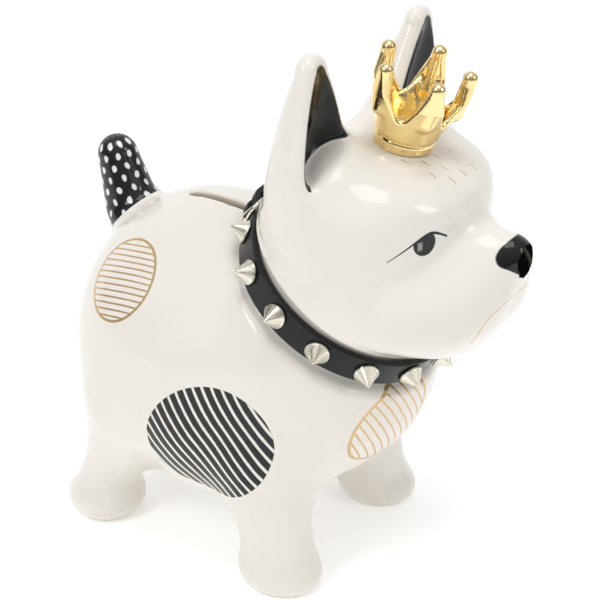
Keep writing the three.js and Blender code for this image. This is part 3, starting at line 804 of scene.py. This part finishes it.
marks = {  # centre and outward direction in millimetres; long and short halves; tilts in degrees
    "rump": {"centre": (-42.0, 23.9, 113.4), "out": (-0.76, 0.18, 0.62), "halves": (15.2, 16.5), "tilt": 0,
             "lines": 11.5, "pitch": 2.36, "line": 0.62, "bend": 0.001, "rim": 0.95},
    "flank": {"centre": (-53.5, -23.2, 62.4), "out": (-0.97, -0.21, -0.09), "halves": (28.0, 23.4),
              "tilt": 42, "lines": -57, "pitch": 3.8, "line": 1.15, "bend": -0.003, "rim": 0},
    "chest": {"centre": (-13.6, -77.0, 70.4), "out": (-0.35, -0.9, -0.25), "halves": (19.0, 16.4),
              "tilt": 51, "lines": -58, "pitch": 3.1, "line": 0.72, "bend": 0.005, "rim": 1.25},
    "eye": {"centre": (-25.1, -94.2, 150.3), "out": (-0.48, -0.87, 0), "pupil": (0.3, 0.75), "pupilR": 4.3,
            "lid": (2.7, 4.05), "lidBend": 3.4, "lidSlope": 0.66, "from": -12.8, "to": 9.6},
    "mouth": {"z": 118.3, "wide": 18.4, "high": 10.9, "power": 2.4, "line": 0.42, "end": 115.6,
              "noseFoot": 135, "front": -104.0},
    "brow": {"centre": (0, -90.3, 172.4), "down": (0, -0.86, -0.5), "rowPitch": 5.3, "columnPitch": 8.0,
             "long": 3.2, "wide": 0.42, "side": 13.5, "middle": -1.8, "deep": 10.2, "foot": 160.0},
    "tail": {"foot": (0, 52.3, 121.4), "lean": 17, "columns": 10, "rows": 4.3, "wide": 0.98, "high": 1.35},
}


def markFrame(mark):  # level and upright directions in the tangent plane of a mark
    out = Vector(mark["out"]).normalized()
    level = Vector((0, 0, 1)).cross(out).normalized()
    return level, out.cross(level), out


def rotated(level, upright, degrees):
    t = math.radians(degrees)
    return level * math.cos(t) + upright * math.sin(t), upright * math.cos(t) - level * math.sin(t)


def ovalGroup():  # a striped oval: Inside of its edge, Lines across it, and Rim round it
    vectors = [(name, "NodeSocketVector", (0, 0, 0)) for name in ("Place", "Centre", "Wide", "Tall", "Along",
                                                                  "Across", "Out")]
    numbers = [(name, "NodeSocketFloat", value) for name, value in (
        ("Half", 15.0), ("Pitch", 3.0), ("Line", 0.6), ("Bend", 0.0), ("Rim", 1.0))]
    tree, given, out = newGroup("stripedOval", vectors + numbers,
                                [(name, "NodeSocketFloat") for name in ("Inside", "Lines", "Rim")])
    shaky = noise(tree, given["Place"], 0.05, 1.0)  # the slow wander of a brush held by hand
    offset = vecCalc(tree, "SUBTRACT", given["Place"], given["Centre"])
    wide = vecCalc(tree, "DOT_PRODUCT", offset, given["Wide"])
    tall = vecCalc(tree, "DOT_PRODUCT", offset, given["Tall"])
    across = vecCalc(tree, "DOT_PRODUCT", offset, given["Across"])
    along = vecCalc(tree, "DOT_PRODUCT", offset, given["Along"])
    above = vecCalc(tree, "DOT_PRODUCT", offset, given["Out"])
    edge = calc(tree, "SUBTRACT", lengthOf(tree, wide, tall), 1.0)
    edge = calc(tree, "MULTIPLY", edge, given["Half"])
    edge = calc(tree, "MULTIPLY_ADD", shaky, 0.8, calc(tree, "SUBTRACT", edge, 0.4))
    facing = calc(tree, "GREATER_THAN", above, -14.0)
    inside = calc(tree, "MULTIPLY", edgeMask(tree, edge), facing)
    bow = calc(tree, "MULTIPLY", calc(tree, "MULTIPLY", along, along), given["Bend"])
    step = calc(tree, "ADD", calc(tree, "MULTIPLY_ADD", shaky, 0.7, across), bow)
    near = calc(tree, "PINGPONG", step, calc(tree, "MULTIPLY", given["Pitch"], 0.5))
    thin = calc(tree, "MULTIPLY", noise(tree, given["Place"], 0.2, 1.0), 0.3)
    width = calc(tree, "MULTIPLY", given["Line"], calc(tree, "ADD", thin, 0.35))
    lines = edgeMask(tree, calc(tree, "SUBTRACT", near, width))
    ring = calc(tree, "SUBTRACT", calc(tree, "ABSOLUTE", edge), calc(tree, "MULTIPLY", given["Rim"], 0.5))
    tree.links.new(inside, out["Inside"])
    tree.links.new(calc(tree, "MULTIPLY", lines, inside), out["Lines"])
    tree.links.new(calc(tree, "MULTIPLY", edgeMask(tree, ring), facing), out["Rim"])
    return tree


def tailDotsGroup():  # staggered rows of small upright spots round the tail
    t = marks["tail"]
    lean = math.radians(t["lean"])
    tree, given, out = newGroup("tailDots", [("Place", "NodeSocketVector", (0, 0, 0))],
                                [("Dots", "NodeSocketFloat")])
    offset = vecCalc(tree, "SUBTRACT", given["Place"], t["foot"])
    high = vecCalc(tree, "DOT_PRODUCT", offset, (0, math.sin(lean), math.cos(lean)))
    back = vecCalc(tree, "DOT_PRODUCT", offset, (0, math.cos(lean), -math.sin(lean)))
    side = vecCalc(tree, "DOT_PRODUCT", offset, (1, 0, 0))
    angle = calc(tree, "ARCTAN2", side, back)
    radius = lengthOf(tree, side, back)
    shaky = noise(tree, given["Place"], 0.25, 1.0)
    row = calc(tree, "ROUND", calc(tree, "DIVIDE", high, t["rows"]))
    rise = calc(tree, "SUBTRACT", high, calc(tree, "MULTIPLY", row, t["rows"]))
    odd = calc(tree, "FLOORED_MODULO", row, 2.0)
    turn = calc(tree, "MULTIPLY_ADD", odd, 0.5, calc(tree, "MULTIPLY", angle, t["columns"] / (2 * math.pi)))
    turn = calc(tree, "MULTIPLY_ADD", shaky, 0.3, turn)
    fromDot = calc(tree, "SUBTRACT", turn, calc(tree, "ROUND", turn))
    arc = calc(tree, "MULTIPLY", calc(tree, "MULTIPLY", fromDot, 2 * math.pi / t["columns"]), radius)
    length = lengthOf(tree, calc(tree, "DIVIDE", arc, t["wide"]), calc(tree, "DIVIDE", rise, t["high"]))
    dots = below(tree, length, 1.0, 0.16)
    offTip = calc(tree, "GREATER_THAN", radius, 3.4)  # the rounded tip stays plain
    tree.links.new(calc(tree, "MULTIPLY", dots, offTip), out["Dots"])
    return tree


stripedOval = ovalGroup()
tailDots = tailDotsGroup()


def paintOval(tree, place, mark):
    level, upright, out = markFrame(mark)
    wide, tall = rotated(level, upright, mark["tilt"])
    along, across = rotated(level, upright, mark["lines"])
    a, b = mark["halves"]
    return useGroup(tree, stripedOval, Place=place, Centre=mark["centre"], Wide=wide / a, Tall=tall / b,
                    Along=along, Across=across, Out=out, Half=(a + b) / 2, Pitch=mark["pitch"],
                    Line=mark["line"], Bend=mark["bend"], Rim=mark["rim"])


def splitPlace(tree, vector):
    node = tree.nodes.new("ShaderNodeSeparateXYZ")
    tree.links.new(vector, node.inputs[0])
    return node.outputs


def foldedPlace(tree, place):  # the left side shows the same marks as the right
    parts = splitPlace(tree, place)
    node = tree.nodes.new("ShaderNodeCombineXYZ")
    tree.links.new(calc(tree, "MULTIPLY", calc(tree, "ABSOLUTE", parts[0]), -1.0), node.inputs[0])
    tree.links.new(parts[1], node.inputs[1])
    tree.links.new(parts[2], node.inputs[2])
    return node.outputs[0]


def anyOf(tree, *masks):
    total = masks[0]
    for mask in masks[1:]:
        total = calc(tree, "MAXIMUM", total, mask)
    return total


def bothOf(tree, *masks):
    total = masks[0]
    for mask in masks[1:]:
        total = calc(tree, "MULTIPLY", total, mask)
    return total


def eyePaint(tree, folded):  # a round pupil cut by one arched lid line with a long thin tail
    e = marks["eye"]
    level, upright, out = markFrame(e)
    offset = vecCalc(tree, "SUBTRACT", folded, e["centre"])
    u = vecCalc(tree, "DOT_PRODUCT", offset, level)
    v = vecCalc(tree, "DOT_PRODUCT", offset, upright)
    near = below(tree, calc(tree, "ABSOLUTE", vecCalc(tree, "DOT_PRODUCT", offset, out)), 9.0)
    du = calc(tree, "SUBTRACT", u, e["pupil"][0])
    dv = calc(tree, "SUBTRACT", v, e["pupil"][1])
    t = calc(tree, "DIVIDE", calc(tree, "SUBTRACT", u, e["lid"][0]), e["lidBend"])
    bow = calc(tree, "SQRT", calc(tree, "MULTIPLY_ADD", t, t, 1.0))
    drop = calc(tree, "MULTIPLY", calc(tree, "SUBTRACT", bow, 1.0), e["lidBend"] * e["lidSlope"])
    fromLid = calc(tree, "SUBTRACT", v, calc(tree, "SUBTRACT", e["lid"][1], drop))
    thick = calc(tree, "MULTIPLY_ADD", calc(tree, "ABSOLUTE", t), -0.075, 0.5)
    line = below(tree, calc(tree, "MULTIPLY", calc(tree, "ABSOLUTE", fromLid), 0.88), thick, 0.09)
    ends = bothOf(tree, below(tree, u, e["to"]), below(tree, e["from"], u))
    pupil = bothOf(tree, below(tree, lengthOf(tree, du, dv), e["pupilR"]), edgeMask(tree, fromLid))
    glintU = calc(tree, "ABSOLUTE", calc(tree, "ADD", du, 1.75))
    glintV = calc(tree, "MULTIPLY", calc(tree, "ABSOLUTE", calc(tree, "ADD", dv, 0.75)), 0.62)
    glint = bothOf(tree, below(tree, calc(tree, "MAXIMUM", glintU, glintV), 0.85, 0.3), near)
    black = anyOf(tree, calc(tree, "MULTIPLY", line, ends), pupil)
    return calc(tree, "MULTIPLY", black, near), glint


def mouthPaint(tree, place):  # a line down from the nose, and a broad bow across the lips
    m = marks["mouth"]
    parts = splitPlace(tree, place)
    side, height = calc(tree, "ABSOLUTE", parts[0]), parts[2]
    across = calc(tree, "POWER", calc(tree, "DIVIDE", side, m["wide"]), m["power"])
    rise = calc(tree, "DIVIDE", calc(tree, "SUBTRACT", height, m["z"]), m["high"])
    rise = calc(tree, "POWER", calc(tree, "MAXIMUM", rise, 0.0), m["power"])
    length = calc(tree, "POWER", calc(tree, "ADD", across, rise), 1 / m["power"])
    fromBow = calc(tree, "MULTIPLY", calc(tree, "ABSOLUTE", calc(tree, "SUBTRACT", length, 1.0)), 13.0)
    bow = bothOf(tree, below(tree, fromBow, m["line"] / 2), below(tree, m["end"], height, 0.4))
    stem = bothOf(tree, below(tree, side, m["line"] / 2), below(tree, m["z"] + m["high"], height),
                  below(tree, height, m["noseFoot"]))
    front = calc(tree, "LESS_THAN", parts[1], m["front"])
    return calc(tree, "MULTIPLY", anyOf(tree, bow, stem), front)


def browPaint(tree, place):  # short staggered strokes that run down the forehead
    b = marks["brow"]
    parts = splitPlace(tree, place)
    slope = vecCalc(tree, "DOT_PRODUCT", vecCalc(tree, "SUBTRACT", place, b["centre"]), b["down"])
    shaky = noise(tree, place, 0.12, 1.0)
    row = calc(tree, "ROUND", calc(tree, "DIVIDE", slope, b["rowPitch"]))
    fromRow = calc(tree, "SUBTRACT", slope, calc(tree, "MULTIPLY", row, b["rowPitch"]))
    fromRow = calc(tree, "ABSOLUTE", fromRow)
    odd = calc(tree, "FLOORED_MODULO", row, 2.0)
    column = calc(tree, "MULTIPLY_ADD", odd, 0.5, calc(tree, "DIVIDE", parts[0], b["columnPitch"]))
    column = calc(tree, "MULTIPLY_ADD", shaky, 0.5, column)
    fromColumn = calc(tree, "ABSOLUTE", calc(tree, "SUBTRACT", column, calc(tree, "ROUND", column)))
    fromColumn = calc(tree, "MULTIPLY", fromColumn, b["columnPitch"])
    stroke = bothOf(tree, below(tree, fromColumn, b["wide"] / 2), below(tree, fromRow, b["long"] / 2, 0.3))
    fromMiddle = calc(tree, "ABSOLUTE", calc(tree, "SUBTRACT", slope, b["middle"]))
    patch = bothOf(tree, below(tree, fromMiddle, b["deep"]),
                   below(tree, calc(tree, "ABSOLUTE", parts[0]), b["side"]),
                   calc(tree, "GREATER_THAN", parts[2], b["foot"]))
    return calc(tree, "MULTIPLY", stroke, patch)


finishes = {
    "ivory": [(0.83, 0.785, 0.715, 1), (0.90, 0.87, 0.82, 1)],
    "blackGlaze": [(0.008, 0.008, 0.009, 1), (0.016, 0.016, 0.018, 1)],
    "lustre": [(0.90, 0.66, 0.27, 1), (0.98, 0.82, 0.46, 1)], "lustrePit": (0.10, 0.06, 0.02, 1),
    "strap": [(0.009, 0.009, 0.010, 1), (0.020, 0.020, 0.021, 1)], "fibre": (0.035, 0.024, 0.016, 1),
    "nickel": [(0.70, 0.655, 0.54, 1), (0.88, 0.85, 0.74, 1)],
    "screw": [(0.42, 0.43, 0.44, 1), (0.60, 0.60, 0.58, 1)],
    "rubber": [(0.70, 0.69, 0.65, 1), (0.82, 0.81, 0.78, 1)],
    "bisque": (0.62, 0.54, 0.44, 1), "gold": (0.66, 0.43, 0.19, 1), "black": (0.010, 0.010, 0.011, 1),
    "dots": (0.80, 0.81, 0.82, 1), "glint": (0.30, 0.31, 0.31, 1),
    "glazeRough": 0.035, "soleHigh": 0.7, "rawDepth": 1.5, "slotClayAndShadeDepth": 3.4, "slotHalf": 3.2,
}


def bareClayAndSlotShade(tree, parts):  # unglazed inside the hollow, down the coin slot and on the wiped soles; down the slot the tan band reaches deeper, partly as painted shade in the slot
    f = finishes
    inSlot = calc(tree, "LESS_THAN", calc(tree, "ABSOLUTE", parts[0]), f["slotHalf"])
    # in the coin slot the tan bare-clay band runs deeper, which also paints the shade inside the slot
    bareAndShadeTo = calc(tree, "MULTIPLY_ADD", inSlot, f["slotClayAndShadeDepth"] - f["rawDepth"], f["rawDepth"])
    outside = below(tree, bareAndShadeTo, attribute(tree, "depth"), 0.3)
    soles = calc(tree, "LESS_THAN", parts[2], f["soleHigh"])
    return calc(tree, "MAXIMUM", calc(tree, "SUBTRACT", 1.0, outside), soles)


def ivoryGlaze():
    mat, tree, shader = newMaterial("ivoryGlaze")
    place = placeInPotFrame(tree)
    parts = splitPlace(tree, place)
    folded = foldedPlace(tree, place)
    uneven = useGroup(tree, wander, Vector=place, Slow=0.03, Fine=0.35)
    color = mixColor(tree, uneven["Tone"], *finishes["ivory"])
    rump, flank, chest = (paintOval(tree, where, marks[name]) for where, name in (
        (folded, "rump"), (folded, "flank"), (place, "chest")))
    eye, glint = eyePaint(tree, folded)
    gold = anyOf(tree, rump["Lines"], rump["Rim"], chest["Lines"], chest["Rim"], mouthPaint(tree, place),
                 browPaint(tree, place))
    stripes = calc(tree, "MULTIPLY", flank["Inside"], calc(tree, "SUBTRACT", 1.0, flank["Lines"]))
    onTail = edgeMask(tree, attribute(tree, "tailBlack"), 0.15)
    inEar = edgeMask(tree, attribute(tree, "earBlack"), 0.15)
    onNose = edgeMask(tree, attribute(tree, "noseBlack"), 0.12)
    onTail = bothOf(tree, onTail, calc(tree, "GREATER_THAN", parts[1], 25.0))
    inEar = bothOf(tree, inEar, calc(tree, "GREATER_THAN", parts[2], 163.0))
    onNose = bothOf(tree, onNose, calc(tree, "GREATER_THAN", parts[2], 120.0),
                    calc(tree, "LESS_THAN", parts[1], -100.0))
    black = anyOf(tree, stripes, eye, onNose, inEar, onTail)
    dots = bothOf(tree, useGroup(tree, tailDots, Place=place)["Dots"], onTail)
    rough = calc(tree, "MULTIPLY_ADD", uneven["Gloss"], 0.12, finishes["glazeRough"])
    rough = calc(tree, "MULTIPLY_ADD", gold, 0.16, rough)
    color = mixColor(tree, calc(tree, "MULTIPLY", gold, 0.95), color, finishes["gold"])
    color = mixColor(tree, black, color, finishes["black"])
    color = mixColor(tree, dots, color, finishes["dots"])
    color = mixColor(tree, calc(tree, "MULTIPLY", glint, eye), color, finishes["glint"])
    # bare clay, with the deeper tan down the coin slot as painted shade
    rawAndSlotShade = bareClayAndSlotShade(tree, parts)
    color = mixColor(tree, rawAndSlotShade, color, finishes["bisque"])
    rough = calc(tree, "MULTIPLY_ADD", rawAndSlotShade, 0.62, rough)
    tree.links.new(color, shader.inputs["Base Color"])
    tree.links.new(rough, shader.inputs["Roughness"])
    tree.links.new(calc(tree, "MULTIPLY", gold, 0.55), shader.inputs["Metallic"])
    paint = calc(tree, "MULTIPLY", anyOf(tree, gold, black), 0.05)
    height = calc(tree, "MULTIPLY_ADD", uneven["Relief"], 0.35, paint)
    bumpFrom(tree, height, 0.001, 0.22, shader)
    shader.inputs["Specular IOR Level"].default_value = 0.38
    return mat


def blackGlaze():
    mat, tree, shader = newMaterial("blackGlaze")
    place = placeInPotFrame(tree)
    uneven = useGroup(tree, wander, Vector=place, Slow=0.06, Fine=0.5)
    onTail = edgeMask(tree, attribute(tree, "tailBlack"), 0.15)
    dots = useGroup(tree, tailDots, Place=place)["Dots"]
    black = mixColor(tree, uneven["Tone"], *finishes["blackGlaze"])
    color = mixColor(tree, onTail, finishes["ivory"][1], mixColor(tree, dots, black, finishes["dots"]))
    tree.links.new(color, shader.inputs["Base Color"])
    rough = calc(tree, "MULTIPLY_ADD", uneven["Gloss"], 0.14, finishes["glazeRough"])
    tree.links.new(rough, shader.inputs["Roughness"])
    height = calc(tree, "MULTIPLY_ADD", uneven["Relief"], 0.35, calc(tree, "MULTIPLY", dots, 0.05))
    bumpFrom(tree, height, 0.001, 0.22, shader)
    return mat


def goldLustre():  # a mirror of thin metal over glaze, with the small pits that such a film keeps
    mat, tree, shader = newMaterial("goldLustre")
    place = placeInPotFrame(tree)
    uneven = useGroup(tree, wander, Vector=place, Slow=0.09, Fine=1.1)
    pits = calc(tree, "GREATER_THAN", noise(tree, place, 1.3, 1.0), 0.79)
    color = mixColor(tree, uneven["Tone"], *finishes["lustre"])
    tree.links.new(mixColor(tree, pits, color, finishes["lustrePit"]), shader.inputs["Base Color"])
    shader.inputs["Metallic"].default_value = 1
    rough = calc(tree, "MULTIPLY_ADD", uneven["Gloss"], 0.2, 0.02)
    tree.links.new(calc(tree, "MULTIPLY_ADD", pits, 0.3, rough), shader.inputs["Roughness"])
    height = calc(tree, "SUBTRACT", uneven["Relief"], calc(tree, "MULTIPLY", pits, 0.2))
    bumpFrom(tree, height, 0.001, 0.25, shader)
    return mat


def strapBlack():  # coated strap: a fine pebble on its faces, and a raw edge with brown fibres showing
    mat, tree, shader = newMaterial("strapBlack")
    place = placeInPotFrame(tree)
    uneven = useGroup(tree, wander, Vector=place, Slow=0.12, Fine=2.2)
    lean = math.radians(neck["lean"])
    offset = vecCalc(tree, "SUBTRACT", place, (0, neck["y"], neck["z"]))
    high = calc(tree, "ABSOLUTE", vecCalc(tree, "DOT_PRODUCT", offset, (0, -math.sin(lean), math.cos(lean))))
    edge = edgeMask(tree, calc(tree, "SUBTRACT", strap["wide"] / 2 - 0.55, high), 0.12)
    cells = tree.nodes.new("ShaderNodeTexVoronoi")
    cells.inputs["Scale"].default_value = 1.9
    tree.links.new(place, cells.inputs["Vector"])
    speckle = calc(tree, "GREATER_THAN", noise(tree, place, 1.6, 3.0, 0.7), 0.56)
    fibres = calc(tree, "MULTIPLY", speckle, edge)
    color = mixColor(tree, uneven["Tone"], *finishes["strap"])
    color = mixColor(tree, fibres, color, finishes["fibre"])
    tree.links.new(color, shader.inputs["Base Color"])
    rough = calc(tree, "MULTIPLY_ADD", uneven["Gloss"], 0.35, 0.13)
    tree.links.new(calc(tree, "MULTIPLY_ADD", edge, 0.1, rough), shader.inputs["Roughness"])
    shader.inputs["Specular IOR Level"].default_value = 0.22
    height = calc(tree, "MULTIPLY", uneven["Relief"], 0.3)
    height = calc(tree, "MULTIPLY_ADD", cells.outputs["Distance"], 0.35, height)
    bumpFrom(tree, calc(tree, "MULTIPLY_ADD", fibres, 0.25, height), 0.0003, 0.30, shader)
    return mat


def turnedMetal(name, tones, rough, ridge):  # lathe rings that follow each piece's own axis
    mat, tree, shader = newMaterial(name)
    place = placeInPotFrame(tree)
    uneven = useGroup(tree, wander, Vector=place, Slow=0.25, Fine=3.0)
    rings = calc(tree, "SINE", calc(tree, "MULTIPLY", attribute(tree, "turned"), 34.0))
    tree.links.new(mixColor(tree, uneven["Tone"], *tones), shader.inputs["Base Color"])
    shader.inputs["Metallic"].default_value = 1
    tree.links.new(calc(tree, "MULTIPLY_ADD", uneven["Gloss"], rough, rough / 2), shader.inputs["Roughness"])
    height = calc(tree, "MULTIPLY_ADD", rings, ridge, calc(tree, "MULTIPLY", uneven["Relief"], 0.2))
    bumpFrom(tree, height, 0.0002, 0.35, shader)
    return mat


def stopperRubber():  # milky moulded plastic with a faint mould grain
    mat, tree, shader = newMaterial("stopperRubber")
    place = placeInPotFrame(tree)
    uneven = useGroup(tree, wander, Vector=place, Slow=0.1, Fine=2.6)
    tree.links.new(mixColor(tree, uneven["Tone"], *finishes["rubber"]), shader.inputs["Base Color"])
    tree.links.new(calc(tree, "MULTIPLY_ADD", uneven["Gloss"], 0.5, 0.34), shader.inputs["Roughness"])
    shader.inputs["Subsurface Weight"].default_value = 0.12
    shader.inputs["Subsurface Scale"].default_value = 0.003
    bumpFrom(tree, uneven["Relief"], 0.0004, 0.35, shader)
    return mat


ivory = ivoryGlaze()
blackFinish = blackGlaze()
goldFinish = goldLustre()
strapFinish = strapBlack()
nickel = turnedMetal("nickel", finishes["nickel"], 0.16, 0.5)
screwSteel = turnedMetal("screwSteel", finishes["screw"], 0.45, 0.2)
rubber = stopperRubber()
print("finishes made")


def dress(thing, mat, slot, bodyName, *nodes):
    thing.data.materials.clear()
    thing.data.materials.append(mat)
    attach(thing, bodyName)
    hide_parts(*nodes)


dress(bodyPiece, ivory, "ivory_glaze", "figure", "body_shell")
dress(headPiece, ivory, "ivory_glaze", "figure", "head_shell")
dress(tailPiece, blackFinish, "black_glaze", "figure", "tail")
dress(crownPiece, goldFinish, "gold_lustre", "figure", "crown")
dress(strapPiece, strapFinish, "strap_black", "collar", "collar_strap")
dress(keeperPiece, strapFinish, "strap_black", "collar", "strap_keeper")
dress(framePiece, nickel, "nickel", "buckle", "buckle_frame")
dress(tonguePiece, nickel, "nickel", "tongue", "buckle_tongue")
for i, (cone, screw) in enumerate(zip(conePieces, screwPieces), 1):
    dress(cone, nickel, "nickel", "collar", f"spike_{i:02d}")
    dress(screw, screwSteel, "screw_steel", "collar", f"spike_screw_{i:02d}")
dress(stopperPiece, rubber, "stopper_rubber", "stopper", "belly_stopper")
print("pieces dressed")

studio = {  # metres and degrees; each softbox has azimuth, elevation, distance, width, height and watts
    "azimuth": -56.2, "elevation": 27.0, "distance": 0.54, "lens": 85.26, "aim": (0, -0.0042, 0.1012),
    "sky": (0.15, 0.72), "ground": 0.12, "floorGlow": 0.26,
    "softboxes": {"keySoftbox": (-105, 42, 1.2, 0.28, 0.6, 3.6), "fillSoftbox": (8, 32, 1.3, 0.26, 0.6, 2.2),
                  "topSoftbox": (-50, 82, 1.2, 0.6, 0.6, 3.6)},
}


def makeFloor():
    size, corner = 3.0, 0.5
    points = []
    profile = [(-size, 0.0), (0.9, 0.0)] + [
        (0.9 + corner * math.sin(t), corner - corner * math.cos(t))
        for t in np.linspace(0.1, math.pi / 2, 12)] + [(0.9 + corner, 3.0)]
    turn = Matrix.Rotation(math.radians(studio["azimuth"]), 4, "Z")
    for x in (-size, size):
        points += [turn @ Vector((x, y, z)) for y, z in profile]
    count = len(profile)
    faces = [(i, i + 1, count + i + 1, count + i) for i in range(count - 1)]
    floor = newObject("paleFloor", points, faces, Matrix.Identity(4))
    mat, tree, shader = newMaterial("paleFloor")
    shader.inputs["Base Color"].default_value = (0.94, 0.94, 0.94, 1)
    shader.inputs["Roughness"].default_value = 0.7
    shader.inputs["Emission Color"].default_value = (1, 1, 1, 1)
    shader.inputs["Emission Strength"].default_value = studio["floorGlow"]
    floor.data.materials.append(mat)


def outward(azimuth, elevation):  # from the aim, with azimuth 0 in front of the dog's nose
    a, e = math.radians(azimuth), math.radians(elevation)
    return Vector((math.sin(a) * math.cos(e), -math.cos(a) * math.cos(e), math.sin(e)))


def areaLight(name, azimuth, elevation, distance, wide, high, watts):
    data = bpy.data.lights.new(name, "AREA")
    data.shape, data.size, data.size_y, data.energy = "RECTANGLE", wide, high, watts
    lamp = bpy.data.objects.new(name, data)
    aim = Vector(studio["aim"])
    lamp.location = aim + distance * outward(azimuth, elevation)
    lamp.rotation_euler = (aim - lamp.location).to_track_quat("-Z", "Y").to_euler()
    bpy.context.scene.collection.objects.link(lamp)


def makeStudio():
    makeFloor()
    for name, values in studio["softboxes"].items():
        areaLight(name, *values)
    world = bpy.data.worlds.new("studioAir")
    bpy.context.scene.world = world
    world.use_nodes = True
    air = world.node_tree
    coords = air.nodes.new("ShaderNodeTexCoord")
    rise = splitPlace(air, coords.outputs["Generated"])[2]
    low, top = studio["sky"]
    glow = calc(air, "MULTIPLY_ADD", rise, top - low, low)
    air.nodes["Background"].inputs["Color"].default_value = (1, 1, 1, 1)
    air.links.new(calc(air, "MAXIMUM", glow, studio["ground"]), air.nodes["Background"].inputs["Strength"])
    camera = bpy.data.objects.new("camera", bpy.data.cameras.new("camera"))
    camera.data.lens, camera.data.sensor_width = studio["lens"], 36
    camera.data.clip_start = 0.01
    back = outward(studio["azimuth"], studio["elevation"])
    camera.location = Vector(studio["aim"]) + studio["distance"] * back
    camera.rotation_euler = (-back).to_track_quat("-Z", "Y").to_euler()
    bpy.context.scene.collection.objects.link(camera)
    bpy.context.scene.camera = camera


makeStudio()
bpy.context.scene.view_settings.view_transform = "Standard"
print("studio done")
